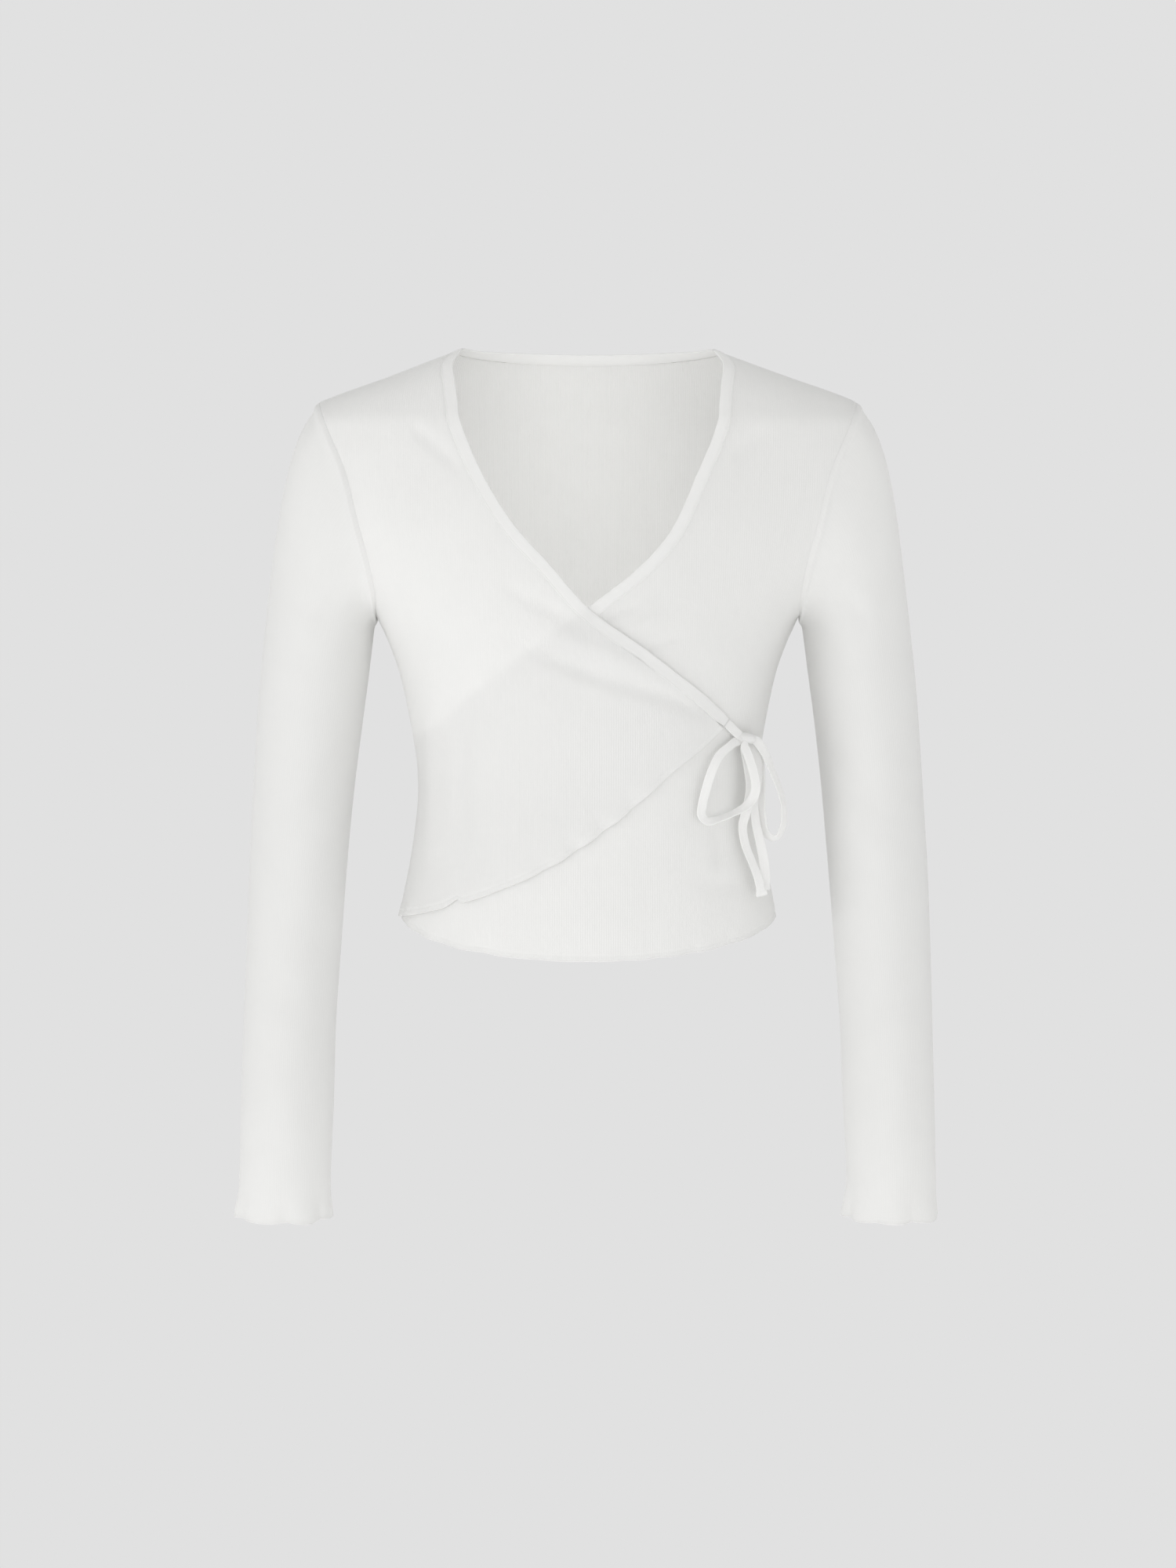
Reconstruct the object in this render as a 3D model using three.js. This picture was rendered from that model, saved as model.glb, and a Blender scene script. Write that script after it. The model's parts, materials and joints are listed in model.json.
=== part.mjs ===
// A cropped wrap cardigan in fine white jersey, worn-shaped and hollow, with its bow tied.
// Millimetres, +Z up, the front faces -Y and the wearer's left is +X. The origin is the middle
// of the line across the wearer's shoulders, where the garment is held up.
//
// Every panel is a wall on one torso form. The form is a stack of rounded level outlines, so a
// point is put on it by sliding it level, towards or away from the body's upright middle line.
import * as THREE from "three";

// Cloth and seams.
const WALL = 1.2;
const SEAM_GAP = 0.3;
const BINDING_WIDTH = 8;
const BINDING_PROUD = 0.5;
const BINDING_INSIDE = 1.5;
const BINDING_STATIONS = [0, 0.2, 0.8, 1]; // shares of its width; it is thinner at the first and last
const LAYER_STEP = 2.6; // how far the under front lies inside the outer front
const SINKING_SHARE = 0.2; // the share of the panel over which it sinks that far

// Heights are given as a drop, the distance below the neck points.
const NECK_HEIGHT = 19;
const NECK_HALF_WIDTH = 86.5;
const SHOULDER_DROP = 38.4;
const SHOULDER_SLOPE = 2.69; // sideways run of the shoulder for each mm of drop
const UNDERARM_DROP = 190;
const HEM_DROP = 405;
const HEM_DIP_FRONT = 19;
const HEM_DIP_BACK = 12;
const HEM_DIP_POWER = 1.6; // over 1 the hem's lowest stretch is wide and its side corners stay sharp
const NECK_SEAM_DROP = 3; // where the neck seam crosses the shoulder line
const UNDER_EDGE_DROP = 286; // where the under front's neck edge meets the far side seam
const WRAP_CORNER = { across: 94, drop: 263.5 };

// How square the level outlines are: 2 is an ellipse.
const ROUNDNESS = 2.2;

// How finely each panel is divided.
const SIDE_ROWS = 10;
const ARMHOLE_ROWS = 12;
const ROWS = SIDE_ROWS + ARMHOLE_ROWS;
const UNDER_SIDE_ROWS = 5;
const RIGHT_COLUMNS = 12;
const LEFT_COLUMNS = 14;
const BACK_SHOULDER_COLUMNS = 5;
const BACK_NECK_COLUMNS = 12;
const BACK_NECK_CORNERS = [BACK_SHOULDER_COLUMNS, BACK_SHOULDER_COLUMNS + BACK_NECK_COLUMNS];

// The torso's level outlines: half the width, and the depths in front of and behind the shoulders.
const shoulderWidthAt = (drop) => NECK_HALF_WIDTH + SHOULDER_SLOPE * drop;
const TORSO_LEVELS = [
  { drop: 0, halfWidth: NECK_HALF_WIDTH, front: 45, back: 58 },
  { drop: SHOULDER_DROP / 2, halfWidth: shoulderWidthAt(SHOULDER_DROP / 2), front: 52, back: 66 },
  { drop: SHOULDER_DROP, halfWidth: shoulderWidthAt(SHOULDER_DROP), front: 60, back: 72 },
  { drop: 48, halfWidth: 208, front: 65, back: 76 },
  { drop: 62, halfWidth: 215, front: 70, back: 80 },
  { drop: 85, halfWidth: 212, front: 78, back: 85 },
  { drop: 110, halfWidth: 203, front: 86, back: 89 },
  { drop: 140, halfWidth: 184, front: 94, back: 91 },
  { drop: 170, halfWidth: 163, front: 100, back: 90 },
  { drop: UNDERARM_DROP, halfWidth: 150, front: 103, back: 88 },
  { drop: 220, halfWidth: 137, front: 104, back: 84 },
  { drop: 254, halfWidth: 128.5, front: 100, back: 78 },
  { drop: 310, halfWidth: 121.5, front: 92, back: 70 },
  { drop: 355, halfWidth: 125.5, front: 91, back: 73 },
  { drop: HEM_DROP, halfWidth: 134.8, front: 94, back: 80 },
  { drop: 450, halfWidth: 140, front: 97, back: 84 },
];

// The armhole seam, seen from the front.
const ARMHOLE = [
  { drop: SHOULDER_DROP, across: shoulderWidthAt(SHOULDER_DROP) },
  { drop: 59, across: 181 },
  { drop: 81, across: 171 },
  { drop: 120, across: 160.5 },
  { drop: 159, across: 151 },
  { drop: 176, across: 149 },
  { drop: UNDERARM_DROP, across: 150 },
];

// The seam of the outer front to its neck binding, from the shoulder down to the tie.
const NECK_SEAM_RIGHT = [
  { across: -98.5, drop: 6 },
  { across: -101.5, drop: 22 },
  { across: -98.5, drop: 43 },
  { across: -92, drop: 65 },
  { across: -80, drop: 91 },
  { across: -57, drop: 127 },
  { across: -34, drop: 152 },
  { across: -5, drop: 184 },
  { across: 35, drop: 213 },
  { across: 58, drop: 231 },
  { across: 77, drop: 246.5 },
  WRAP_CORNER,
];

// The same seam of the under front, which runs on to the far side seam.
const NECK_SEAM_LEFT = [
  { across: 98.5, drop: 6 },
  { across: 101.5, drop: 22 },
  { across: 99.5, drop: 43 },
  { across: 94, drop: 65 },
  { across: 83, drop: 90 },
  { across: 64, drop: 130 },
  { across: 43, drop: 154 },
  { across: 10, drop: 180 },
  { across: -35, drop: 213 },
  { across: -77, drop: 246 },
  { across: -106, drop: 272 },
];

// The back neck seam, seen from behind, in from the shoulder line to the middle.
const NECK_SEAM_BACK = [
  { across: 92, drop: 4.5 },
  { across: 77, drop: 8 },
  { across: 45, drop: 11.5 },
  { across: 0, drop: 13 },
];

// The outer front's hem, from the wrap corner back to the right side seam.
const WRAP_HEM = [
  { across: 84, drop: 273 },
  { across: 62, drop: 290 },
  { across: 20, drop: 326 },
  { across: -28, drop: 359 },
  { across: -73, drop: 380 },
  { across: -115, drop: 395 },
];

// The sleeve's rings. outer and inner are the ring's ends away from and next to the body.
const SLEEVE_RINGS = [
  { outer: 190, outerDrop: SHOULDER_DROP, inner: 150, innerDrop: UNDERARM_DROP, depth: 56, forward: 0 },
  { outer: 203.2, outerDrop: 59, inner: 150.3, innerDrop: 191.5, depth: 54, forward: 0 },
  { outer: 212.3, outerDrop: 86.5, inner: 150.7, innerDrop: 193, depth: 52, forward: 0 },
  { outer: 219, outerDrop: 122, inner: 151.2, innerDrop: 194.5, depth: 50, forward: 0 },
  { outer: 225, outerDrop: 164, inner: 151.8, innerDrop: 196.5, depth: 48, forward: 0 },
  { outer: 229.5, outerDrop: 200, inner: 152.8, innerDrop: 202, depth: 47, forward: 0 },
  { outer: 233, outerDrop: 231, inner: 156.5, innerDrop: 231, depth: 46, forward: 0 },
  { outer: 236, outerDrop: 265, inner: 161, innerDrop: 265, depth: 45, forward: -1 },
  { outer: 239, outerDrop: 310, inner: 166.3, innerDrop: 310, depth: 43, forward: -1 },
  { outer: 242.4, outerDrop: 366, inner: 171.7, innerDrop: 366, depth: 41, forward: 0 },
  { outer: 244.6, outerDrop: 423, inner: 176.5, innerDrop: 423, depth: 38, forward: 2 },
  { outer: 246.7, outerDrop: 480, inner: 180.8, innerDrop: 480, depth: 36, forward: 5 },
  { outer: 248.7, outerDrop: 537, inner: 182.8, innerDrop: 537, depth: 34, forward: 9 },
  { outer: 249.8, outerDrop: 580, inner: 184.8, innerDrop: 580, depth: 32.5, forward: 12 },
  { outer: 250.4, outerDrop: 601, inner: 184.8, innerDrop: 601, depth: 33, forward: 13 },
  { outer: 252.4, outerDrop: 619, inner: 182.6, innerDrop: 619, depth: 35.5, forward: 14 },
];
const LAST_HEAD_RING = 5; // the rings up to here ease from the armhole's outline to plain ovals

// The ties are flat folded strips that are knotted in a bow beside the waist.
const TIE_WIDTH = 6.8;
const TIE_THICKNESS = 1.6;
const TIE_STEP = 7;
const TIE_FLAT_SHARE = 0.8; // the share of the width that has the full thickness
const BOW_FACING = new THREE.Vector3(0.35, -0.94, 0).normalize();
const KNOT_ROUNDS = 3;
const KNOT = { across: 110.7, drop: 272.3, ahead: 57.3, halfLength: 7.4, halfHeight: 3.6, halfDepth: 3.4 };

// The middle lines of the ties, by hand. ahead is the distance in front of the shoulder line.
// A root lies on the cloth and ends at the knot, and the rest hang from the knot.
const TIE_ROUTES = {
  tie_front_root: [
    { across: 96.5, drop: 259.7, ahead: 68.6 },
    { across: 101, drop: 264.6, ahead: 65 },
    { across: 105.9, drop: 269.2, ahead: 61 },
  ],
  tie_side_root: [
    { across: 124.4, drop: 288.6, ahead: 1 },
    { across: 124.0, drop: 286.6, ahead: 12.5 },
    { across: 122.2, drop: 284.1, ahead: 22.9 },
    { across: 119.2, drop: 279.7, ahead: 34.8 },
    { across: 115.5, drop: 275.7, ahead: 43.9 },
    { across: 110.9, drop: 272.5, ahead: 52.4 },
  ],
  tie_front_loop: [
    { across: 103.4, drop: 273.8, ahead: 61 },
    { across: 98.3, drop: 276.7, ahead: 68.5 },
    { across: 91.3, drop: 282.5, ahead: 76 },
    { across: 86, drop: 293, ahead: 79.5 },
    { across: 82.2, drop: 305.2, ahead: 79 },
    { across: 79.7, drop: 315.8, ahead: 78 },
    { across: 79.2, drop: 323.7, ahead: 77.5 },
    { across: 83.2, drop: 327.9, ahead: 75.5 },
    { across: 91.1, drop: 327, ahead: 71 },
    { across: 100.7, drop: 324, ahead: 66 },
    { across: 110, drop: 319.4, ahead: 63 },
    { across: 115.6, drop: 313.2, ahead: 61 },
    { across: 117.4, drop: 305.4, ahead: 61 },
    { across: 115.6, drop: 294.9, ahead: 61 },
    { across: 112.4, drop: 284.4, ahead: 61 },
    { across: 109.6, drop: 277, ahead: 60.6 },
  ],
  tie_front_tail: [
    { across: 109.6, drop: 276.8, ahead: 57.5 },
    { across: 112, drop: 290, ahead: 55.5 },
    { across: 114, drop: 307, ahead: 54.5 },
    { across: 111.5, drop: 322, ahead: 54 },
    { across: 108.6, drop: 334, ahead: 54.5 },
    { across: 110.5, drop: 347, ahead: 54.5 },
    { across: 115.5, drop: 360, ahead: 53.5 },
    { across: 120, drop: 372, ahead: 53 },
    { across: 122.5, drop: 384, ahead: 52 },
  ],
  tie_side_tail: [
    { across: 113.8, drop: 275.6, ahead: 53.6 },
    { across: 119, drop: 288, ahead: 50.5 },
    { across: 119.5, drop: 304, ahead: 50 },
    { across: 117, drop: 318, ahead: 49.5 },
    { across: 118, drop: 332, ahead: 49.5 },
    { across: 121.3, drop: 347, ahead: 49 },
    { across: 123.8, drop: 360, ahead: 48 },
    { across: 125, drop: 371, ahead: 47 },
    { across: 124.5, drop: 381, ahead: 46 },
  ],
  tie_side_loop: [
    { across: 118.3, drop: 274.2, ahead: 55.4 },
    { across: 124.5, drop: 284, ahead: 50.5 },
    { across: 129.5, drop: 296, ahead: 48 },
    { across: 135, drop: 310, ahead: 46 },
    { across: 137.7, drop: 323, ahead: 45 },
    { across: 137.3, drop: 335, ahead: 45 },
    { across: 132.5, drop: 343.5, ahead: 45 },
    { across: 126, drop: 341, ahead: 45 },
    { across: 122.5, drop: 328, ahead: 45 },
    { across: 121.8, drop: 310, ahead: 45.5 },
    { across: 121, drop: 294, ahead: 46 },
    { across: 117.5, drop: 277, ahead: 50 },
  ],
};

const heightOf = (drop) => NECK_HEIGHT - drop;
const dropOf = (height) => NECK_HEIGHT - height;

// A smooth curve through one column of a table, by the table's key column.
function column(rows, key, name) {
  const slopes = rows.map((row, i) => {
    const before = rows[Math.max(i - 1, 0)];
    const after = rows[Math.min(i + 1, rows.length - 1)];
    const rise = (from, to) => (to === from ? 0 : (to[name] - from[name]) / (to[key] - from[key]));
    if (before === row) return rise(row, after);
    if (after === row) return rise(before, row);
    const left = row[key] - before[key];
    const right = after[key] - row[key];
    return (right * rise(before, row) + left * rise(row, after)) / (left + right);
  });
  return (at) => {
    let i = rows.findIndex((row) => row[key] > at) - 1;
    if (i === -2) i = rows.length - 2;
    if (i === -1) return rows[0][name] + slopes[0] * (at - rows[0][key]);
    const span = rows[i + 1][key] - rows[i][key];
    const t = (at - rows[i][key]) / span;
    const start = (1 + 2 * t) * (1 - t) ** 2 * rows[i][name] + t * (1 - t) ** 2 * span * slopes[i];
    const end = (3 - 2 * t) * t ** 2 * rows[i + 1][name] - (1 - t) * t ** 2 * span * slopes[i + 1];
    return start + end;
  };
}

const halfWidthAt = column(TORSO_LEVELS, "drop", "halfWidth");
const frontDepthAt = column(TORSO_LEVELS, "drop", "front");
const backDepthAt = column(TORSO_LEVELS, "drop", "back");
const armholeAt = column(ARMHOLE, "drop", "across");

// 1 on the torso's surface, less inside it.
function torsoLevel(x, y, z) {
  const drop = dropOf(z);
  const depth = y < 0 ? frontDepthAt(drop) : backDepthAt(drop);
  return (Math.abs(x) / halfWidthAt(drop)) ** ROUNDNESS + (Math.abs(y) / depth) ** ROUNDNESS;
}

// Slides a point level onto the torso's surface.
function ontoTorso(point) {
  const scale = torsoLevel(point.x, point.y, point.z) ** (-1 / ROUNDNESS);
  return new THREE.Vector3(point.x * scale, point.y * scale, point.z);
}

// The torso's outward direction at a point, by small differences.
function torsoNormal({ x, y, z }) {
  const step = 0.05;
  return new THREE.Vector3(
    torsoLevel(x + step, y, z) - torsoLevel(x - step, y, z),
    torsoLevel(x, y + step, z) - torsoLevel(x, y - step, z),
    torsoLevel(x, y, z + step) - torsoLevel(x, y, z - step),
  ).normalize();
}

// The torso's point at a place seen from the front (facing -1) or from behind (facing 1).
function torsoPoint(across, drop, facing) {
  const depth = facing < 0 ? frontDepthAt(drop) : backDepthAt(drop);
  const filled = Math.min((Math.abs(across) / halfWidthAt(drop)) ** ROUNDNESS, 1);
  return new THREE.Vector3(across, facing * depth * (1 - filled) ** (1 / ROUNDNESS), heightOf(drop));
}

// The torso's point on the shoulder line or a side seam.
const sidePoint = (side, drop) => new THREE.Vector3(side * halfWidthAt(drop), 0, heightOf(drop));

// Evenly spaced points of a smooth curve through the given ones, put onto the torso.
function curveOnTorso(points, count) {
  return new THREE.CatmullRomCurve3(points).getSpacedPoints(count).map(ontoTorso);
}

const seenPoints = (rows, facing) => rows.map((row) => torsoPoint(row.across, row.drop, facing));

// The armhole's points from the underarm to the shoulder tip, on one side and facing.
function armholePoints(side, facing) {
  return Array.from({ length: ARMHOLE_ROWS + 1 }, (_, i) => {
    const upward = (1 - Math.cos((Math.PI * i) / ARMHOLE_ROWS)) / 2;
    const drop = UNDERARM_DROP + upward * (SHOULDER_DROP - UNDERARM_DROP);
    return torsoPoint(side * armholeAt(drop), drop, facing);
  });
}

// A side seam's points upwards between two drops.
function sideSeam(side, fromDrop, toDrop, count) {
  return Array.from({ length: count + 1 }, (_, i) =>
    sidePoint(side, fromDrop + ((toDrop - fromDrop) * i) / count));
}

// A panel's outer edge on one side: the side seam, then the armhole.
function sideEdge(side, facing) {
  const seam = sideSeam(side, HEM_DROP, UNDERARM_DROP, SIDE_ROWS);
  return [...seam, ...armholePoints(side, facing).slice(1)];
}

// The hem's points from one side seam to the other, all round one face of the torso.
function hemEdge(fromSide, facing, dip, count) {
  return Array.from({ length: count + 1 }, (_, i) => {
    const turn = Math.PI * (i / count);
    const drop = HEM_DROP + dip * Math.sin(turn) ** HEM_DIP_POWER;
    return atTurn(fromSide > 0 ? turn : Math.PI - turn, heightOf(drop), facing);
  });
}

const neckCorner = (side) => sidePoint(side, NECK_SEAM_DROP);

// The shoulder seam's points from the armhole in to the neck seam.
function shoulderSeam(side, count) {
  return sideSeam(side, SHOULDER_DROP, NECK_SEAM_DROP, count);
}

// How far along a line of points each one is, from 0 to 1.
function fractions(points) {
  const lengths = [0];
  for (let i = 1; i < points.length; i++) {
    lengths.push(lengths[i - 1] + points[i].distanceTo(points[i - 1]));
  }
  return lengths.map((length) => length / lengths.at(-1));
}

const mean = (a, b) => (a + b) / 2;

// The turn of a torso point about the upright middle line, from the wearer's left side.
function turnOf({ x, y, z }) {
  const drop = dropOf(z);
  const depth = y < 0 ? frontDepthAt(drop) : backDepthAt(drop);
  return Math.atan2(Math.abs(y) / depth, x / halfWidthAt(drop));
}

function atTurn(turn, z, facing) {
  const drop = dropOf(z);
  const depth = facing < 0 ? frontDepthAt(drop) : backDepthAt(drop);
  const [x, y] = [Math.cos(turn) * halfWidthAt(drop), facing * Math.sin(turn) * depth];
  return ontoTorso(new THREE.Vector3(x, y, z));
}

// A grid of torso points inside four edges. bottom and top run from the left edge to the right
// one, and left and right run upwards. A row joins left[i] to right[i], and bends as the bottom
// and top do where it is near them. Below the armholes a row is spaced by turn, because the
// cloth goes round the body there, and towards the shoulders it is spaced straight across.
function patch({ bottom, top, left, right, facing }) {
  const [upLeft, upRight] = [fractions(left), fractions(right)];
  const [alongBottom, alongTop] = [fractions(bottom), fractions(top)];
  const inside = (i, j) => {
    const t = mean(upLeft[i], upRight[i]);
    const s = mean(alongBottom[j], alongTop[j]);
    const between = (from, to, value) => (1 - s) * value(from) + s * value(to);
    const bend = (edge, value) => value(edge[j]) - between(edge[0], edge.at(-1), value);
    const blend = (value, topShare) => between(left[i], right[i], value)
      + (1 - t) * bend(bottom, value) + topShare * bend(top, value);
    const late = t ** 3;
    const turned = atTurn(blend(turnOf, late), blend((point) => point.z, late), facing);
    const straight = new THREE.Vector3(...["x", "y", "z"].map((axis) => blend((p) => p[axis], t)));
    const upwards = THREE.MathUtils.smoothstep(i, SIDE_ROWS, ROWS);
    return ontoTorso(turned.lerp(straight, upwards));
  };
  const [lastRow, lastColumn] = [left.length - 1, bottom.length - 1];
  return left.map((_, i) => bottom.map((_, j) => {
    if (i === 0) return bottom[j].clone();
    if (i === lastRow) return top[j].clone();
    if (j === 0) return left[i].clone();
    return j === lastColumn ? right[i].clone() : inside(i, j);
  }));
}

const tangentAt = (line, i) =>
  line[Math.min(i + 1, line.length - 1)].clone().sub(line[Math.max(i - 1, 0)]).normalize();

// The direction at each point of an edge that lies in the cloth, square to the edge, towards the
// inner line of points.
function inwardDirections(edge, normals, inside) {
  const across = edge.map((_, i) => tangentAt(edge, i).cross(normals[i]).normalize());
  const towards = across.reduce((sum, way, i) => sum + way.dot(inside[i].clone().sub(edge[i])), 0);
  return across.map((way) => way.multiplyScalar(Math.sign(towards)));
}

// Moves an edge of a panel off its seam, towards the inner line of points.
function openSeam(edge, normals, inside) {
  const inwards = inwardDirections(edge, normals, inside);
  edge.forEach((point, i) => point.addScaledVector(inwards[i], SEAM_GAP / 2));
}

const columnOf = (grid, j) => grid.map((row) => row.at(j));

const cornerPoint = (grid, [i, j]) => grid[i][j];

// Turns two grids of points, the outer and inner faces of a wall, into one closed mesh. Each
// cell is split along its shorter diagonal. around joins each row's end to its start.
function wallMesh(name, material, outer, inner, around = false) {
  const [rows, columns] = [outer.length, outer[0].length];
  const positions = [...outer.flat(), ...inner.flat()].flatMap((point) => point.toArray());
  const at = (face, i, j) => face * rows * columns + i * columns + (j % columns);
  const triangles = [];
  const quad = (a, b, c, d) => triangles.push(a, b, c, a, c, d);
  const spans = around ? columns : columns - 1;
  for (let i = 0; i < rows - 1; i++) {
    for (let j = 0; j < spans; j++) {
      const next = (j + 1) % columns;
      const corners = [[i, j], [i, next], [i + 1, next], [i + 1, j]];
      const length = (k) => cornerPoint(outer, corners[k]).distanceTo(cornerPoint(outer, corners[k + 2]));
      const cell = length(0) <= length(1) ? corners : [...corners.slice(1), corners[0]];
      quad(...cell.map((corner) => at(0, ...corner)));
      quad(...cell.toReversed().map((corner) => at(1, ...corner)));
    }
    if (!around) {
      quad(at(0, i, 0), at(0, i + 1, 0), at(1, i + 1, 0), at(1, i, 0));
      quad(at(0, i + 1, spans), at(0, i, spans), at(1, i, spans), at(1, i + 1, spans));
    }
  }
  for (let j = 0; j < spans; j++) {
    quad(at(0, 0, j + 1), at(0, 0, j), at(1, 0, j), at(1, 0, j + 1));
    const last = rows - 1;
    quad(at(0, last, j), at(0, last, j + 1), at(1, last, j + 1), at(1, last, j));
  }
  return closedMesh(name, material, positions, triangles);
}

// Six times the volume inside the triangles, negative if their faces point inwards.
function signedVolume(positions, triangles) {
  const corner = (k) => new THREE.Vector3().fromArray(positions, 3 * triangles[k]);
  let sum = 0;
  for (let k = 0; k < triangles.length; k += 3) {
    sum += corner(k).dot(corner(k + 1).cross(corner(k + 2)));
  }
  return sum;
}

function closedMesh(name, material, positions, triangles) {
  const facesInwards = signedVolume(positions, triangles) < 0;
  const index = facesInwards ? triangles.toReversed() : triangles;
  const geometry = new THREE.BufferGeometry();
  geometry.setAttribute("position", new THREE.Float32BufferAttribute(positions, 3));
  geometry.setIndex(index);
  geometry.computeVertexNormals();
  const mesh = new THREE.Mesh(geometry, material);
  mesh.name = name;
  return mesh;
}

// A grid moved along its normals by an amount for each place.
function moved(grid, normals, amount) {
  return grid.map((row, i) => row.map((point, j) =>
    point.clone().addScaledVector(normals[i][j], amount(i, j))));
}

const cloth = (color, roughness) => new THREE.MeshStandardMaterial({ color, roughness, metalness: 0 });
const jersey = () => cloth(0xededeb, 0.9);
const foldedStrip = () => cloth(0xf0f0ef, 0.85);

// ---- Sleeves ----

// A ring's point at a turn from its outer end, which goes round by the front.
function ringPoint(ring, side, turn) {
  const along = Math.cos(turn);
  const across = mean(ring.outer, ring.inner) + (along * (ring.outer - ring.inner)) / 2;
  const drop = mean(ring.outerDrop, ring.innerDrop) + (along * (ring.outerDrop - ring.innerDrop)) / 2;
  return new THREE.Vector3(side * across, -ring.forward - ring.depth * Math.sin(turn), heightOf(drop));
}

// The armhole all round, from the shoulder tip by the front.
function armholeLoop(side) {
  const front = armholePoints(side, -1).reverse();
  const back = armholePoints(side, 1);
  return [...front, ...back.slice(1, -1)];
}

function sleeveGrid(side) {
  const loop = armholeLoop(side);
  const turns = loop.map((_, j) => (2 * Math.PI * j) / loop.length);
  return SLEEVE_RINGS.map((ring, i) => turns.map((turn, j) => {
    const oval = ringPoint(ring, side, turn);
    const start = ringPoint(SLEEVE_RINGS[0], side, turn);
    const keep = Math.max(1 - i / LAST_HEAD_RING, 0) ** 2;
    return oval.addScaledVector(loop[j].clone().sub(start), keep);
  }));
}

// A tube's outward directions, from its own neighbouring points.
function tubeNormals(grid, side) {
  const count = grid[0].length;
  return grid.map((row, i) => row.map((_, j) => {
    const below = grid[Math.min(i + 1, grid.length - 1)][j];
    const above = grid[Math.max(i - 1, 0)][j];
    const around = row[(j + 1) % count].clone().sub(row[(j + count - 1) % count]);
    return below.clone().sub(above).cross(around).multiplyScalar(-side).normalize();
  }));
}

// The armhole's shared direction at each of its points, between the torso's and the sleeve's.
function armholeNormals(side) {
  const sleeve = tubeNormals(sleeveGrid(side), side)[0];
  return armholeLoop(side).map((point, j) => torsoNormal(point).add(sleeve[j]).normalize());
}

// The same directions from the underarm to the shoulder tip, on one facing.
function armholeEdgeNormals(side, facing) {
  const normals = armholeNormals(side);
  const half = normals.slice(0, ARMHOLE_ROWS + 1).reverse();
  const behind = [...normals.slice(ARMHOLE_ROWS), normals[0]];
  return facing < 0 ? half : behind;
}

// The same as openSeam for an edge that closes on itself.
function openLoop(edge, normals, inside) {
  const ring = (line) => [line.at(-1), ...line, line[0]];
  const inwards = inwardDirections(ring(edge), ring(normals), ring(inside)).slice(1, -1);
  edge.forEach((point, i) => point.addScaledVector(inwards[i], SEAM_GAP / 2));
}

function makeSleeve(name, side) {
  const grid = sleeveGrid(side);
  const normals = tubeNormals(grid, side);
  normals[0] = armholeNormals(side);
  openLoop(grid[0], normals[0], grid[1]);
  const inner = moved(grid, normals, () => -WALL);
  return wallMesh(name, jersey(), grid, inner, true);
}

// ---- Panels ----

// A panel's wall. armholes lists the columns that lie on an armhole, with their side. corners
// gives the places on its left, right and top edges where one seam ends and the next starts.
function makePanel({ name, grid, facing, armholes, corners, sunk = () => 0 }) {
  const normals = grid.map((row) => row.map(torsoNormal));
  for (const { column: j, side } of armholes) {
    armholeEdgeNormals(side, facing).forEach((normal, k) => {
      normals[SIDE_ROWS + k].splice(j, 1, normal);
    });
  }
  openPanelSeams(grid, normals, corners);
  const outer = moved(grid, normals, (i, j) => -sunk(i, j));
  const inner = moved(grid, normals, (i, j) => -sunk(i, j) - WALL);
  return wallMesh(name, jersey(), outer, inner);
}

// Opens all the seams of a panel but its lowest row, which is its hem.
function openPanelSeams(grid, normals, corners) {
  const before = grid.map((row) => row.map((point) => point.clone()));
  const edges = {
    left: [columnOf(grid, 0), columnOf(normals, 0), columnOf(before, 1)],
    right: [columnOf(grid, -1), columnOf(normals, -1), columnOf(before, -2)],
    top: [grid.at(-1), normals.at(-1), before.at(-2)],
  };
  for (const [side, lines] of Object.entries(edges)) {
    const ends = [0, ...(corners[side] ?? []), lines[0].length - 1];
    for (let k = 1; k < ends.length; k++) {
      openSeam(...lines.map((line) => line.slice(ends[k - 1], ends[k] + 1)));
    }
  }
}

function rightFrontGrid() {
  const neck = curveOnTorso([neckCorner(-1), ...seenPoints(NECK_SEAM_RIGHT, -1)], ROWS);
  const hemPoints = [sidePoint(-1, HEM_DROP), ...seenPoints(WRAP_HEM.toReversed(), -1), neck.at(-1)];
  return patch({
    bottom: curveOnTorso(hemPoints, RIGHT_COLUMNS),
    top: shoulderSeam(-1, RIGHT_COLUMNS),
    left: sideEdge(-1, -1),
    right: neck.reverse(),
    facing: -1,
  });
}

function leftFrontGrid() {
  const neckRows = ROWS - UNDER_SIDE_ROWS;
  const neckEnd = sidePoint(-1, UNDER_EDGE_DROP);
  const neckPoints = [neckCorner(1), ...seenPoints(NECK_SEAM_LEFT, -1), neckEnd];
  const neck = curveOnTorso(neckPoints, neckRows).reverse();
  return patch({
    bottom: hemEdge(1, -1, HEM_DIP_FRONT, LEFT_COLUMNS),
    top: shoulderSeam(1, LEFT_COLUMNS),
    left: sideEdge(1, -1),
    right: [...sideSeam(-1, HEM_DROP, UNDER_EDGE_DROP, UNDER_SIDE_ROWS), ...neck.slice(1)],
    facing: -1,
  });
}

// The under front goes inwards from its own side and shoulder, to pass under the outer front.
function underFrontSunk(i, j) {
  const fromSide = THREE.MathUtils.smoothstep(j / LEFT_COLUMNS, 0, SINKING_SHARE);
  const fromShoulder = THREE.MathUtils.smoothstep(1 - i / ROWS, 0, SINKING_SHARE);
  return LAYER_STEP * fromSide * fromShoulder;
}

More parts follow.
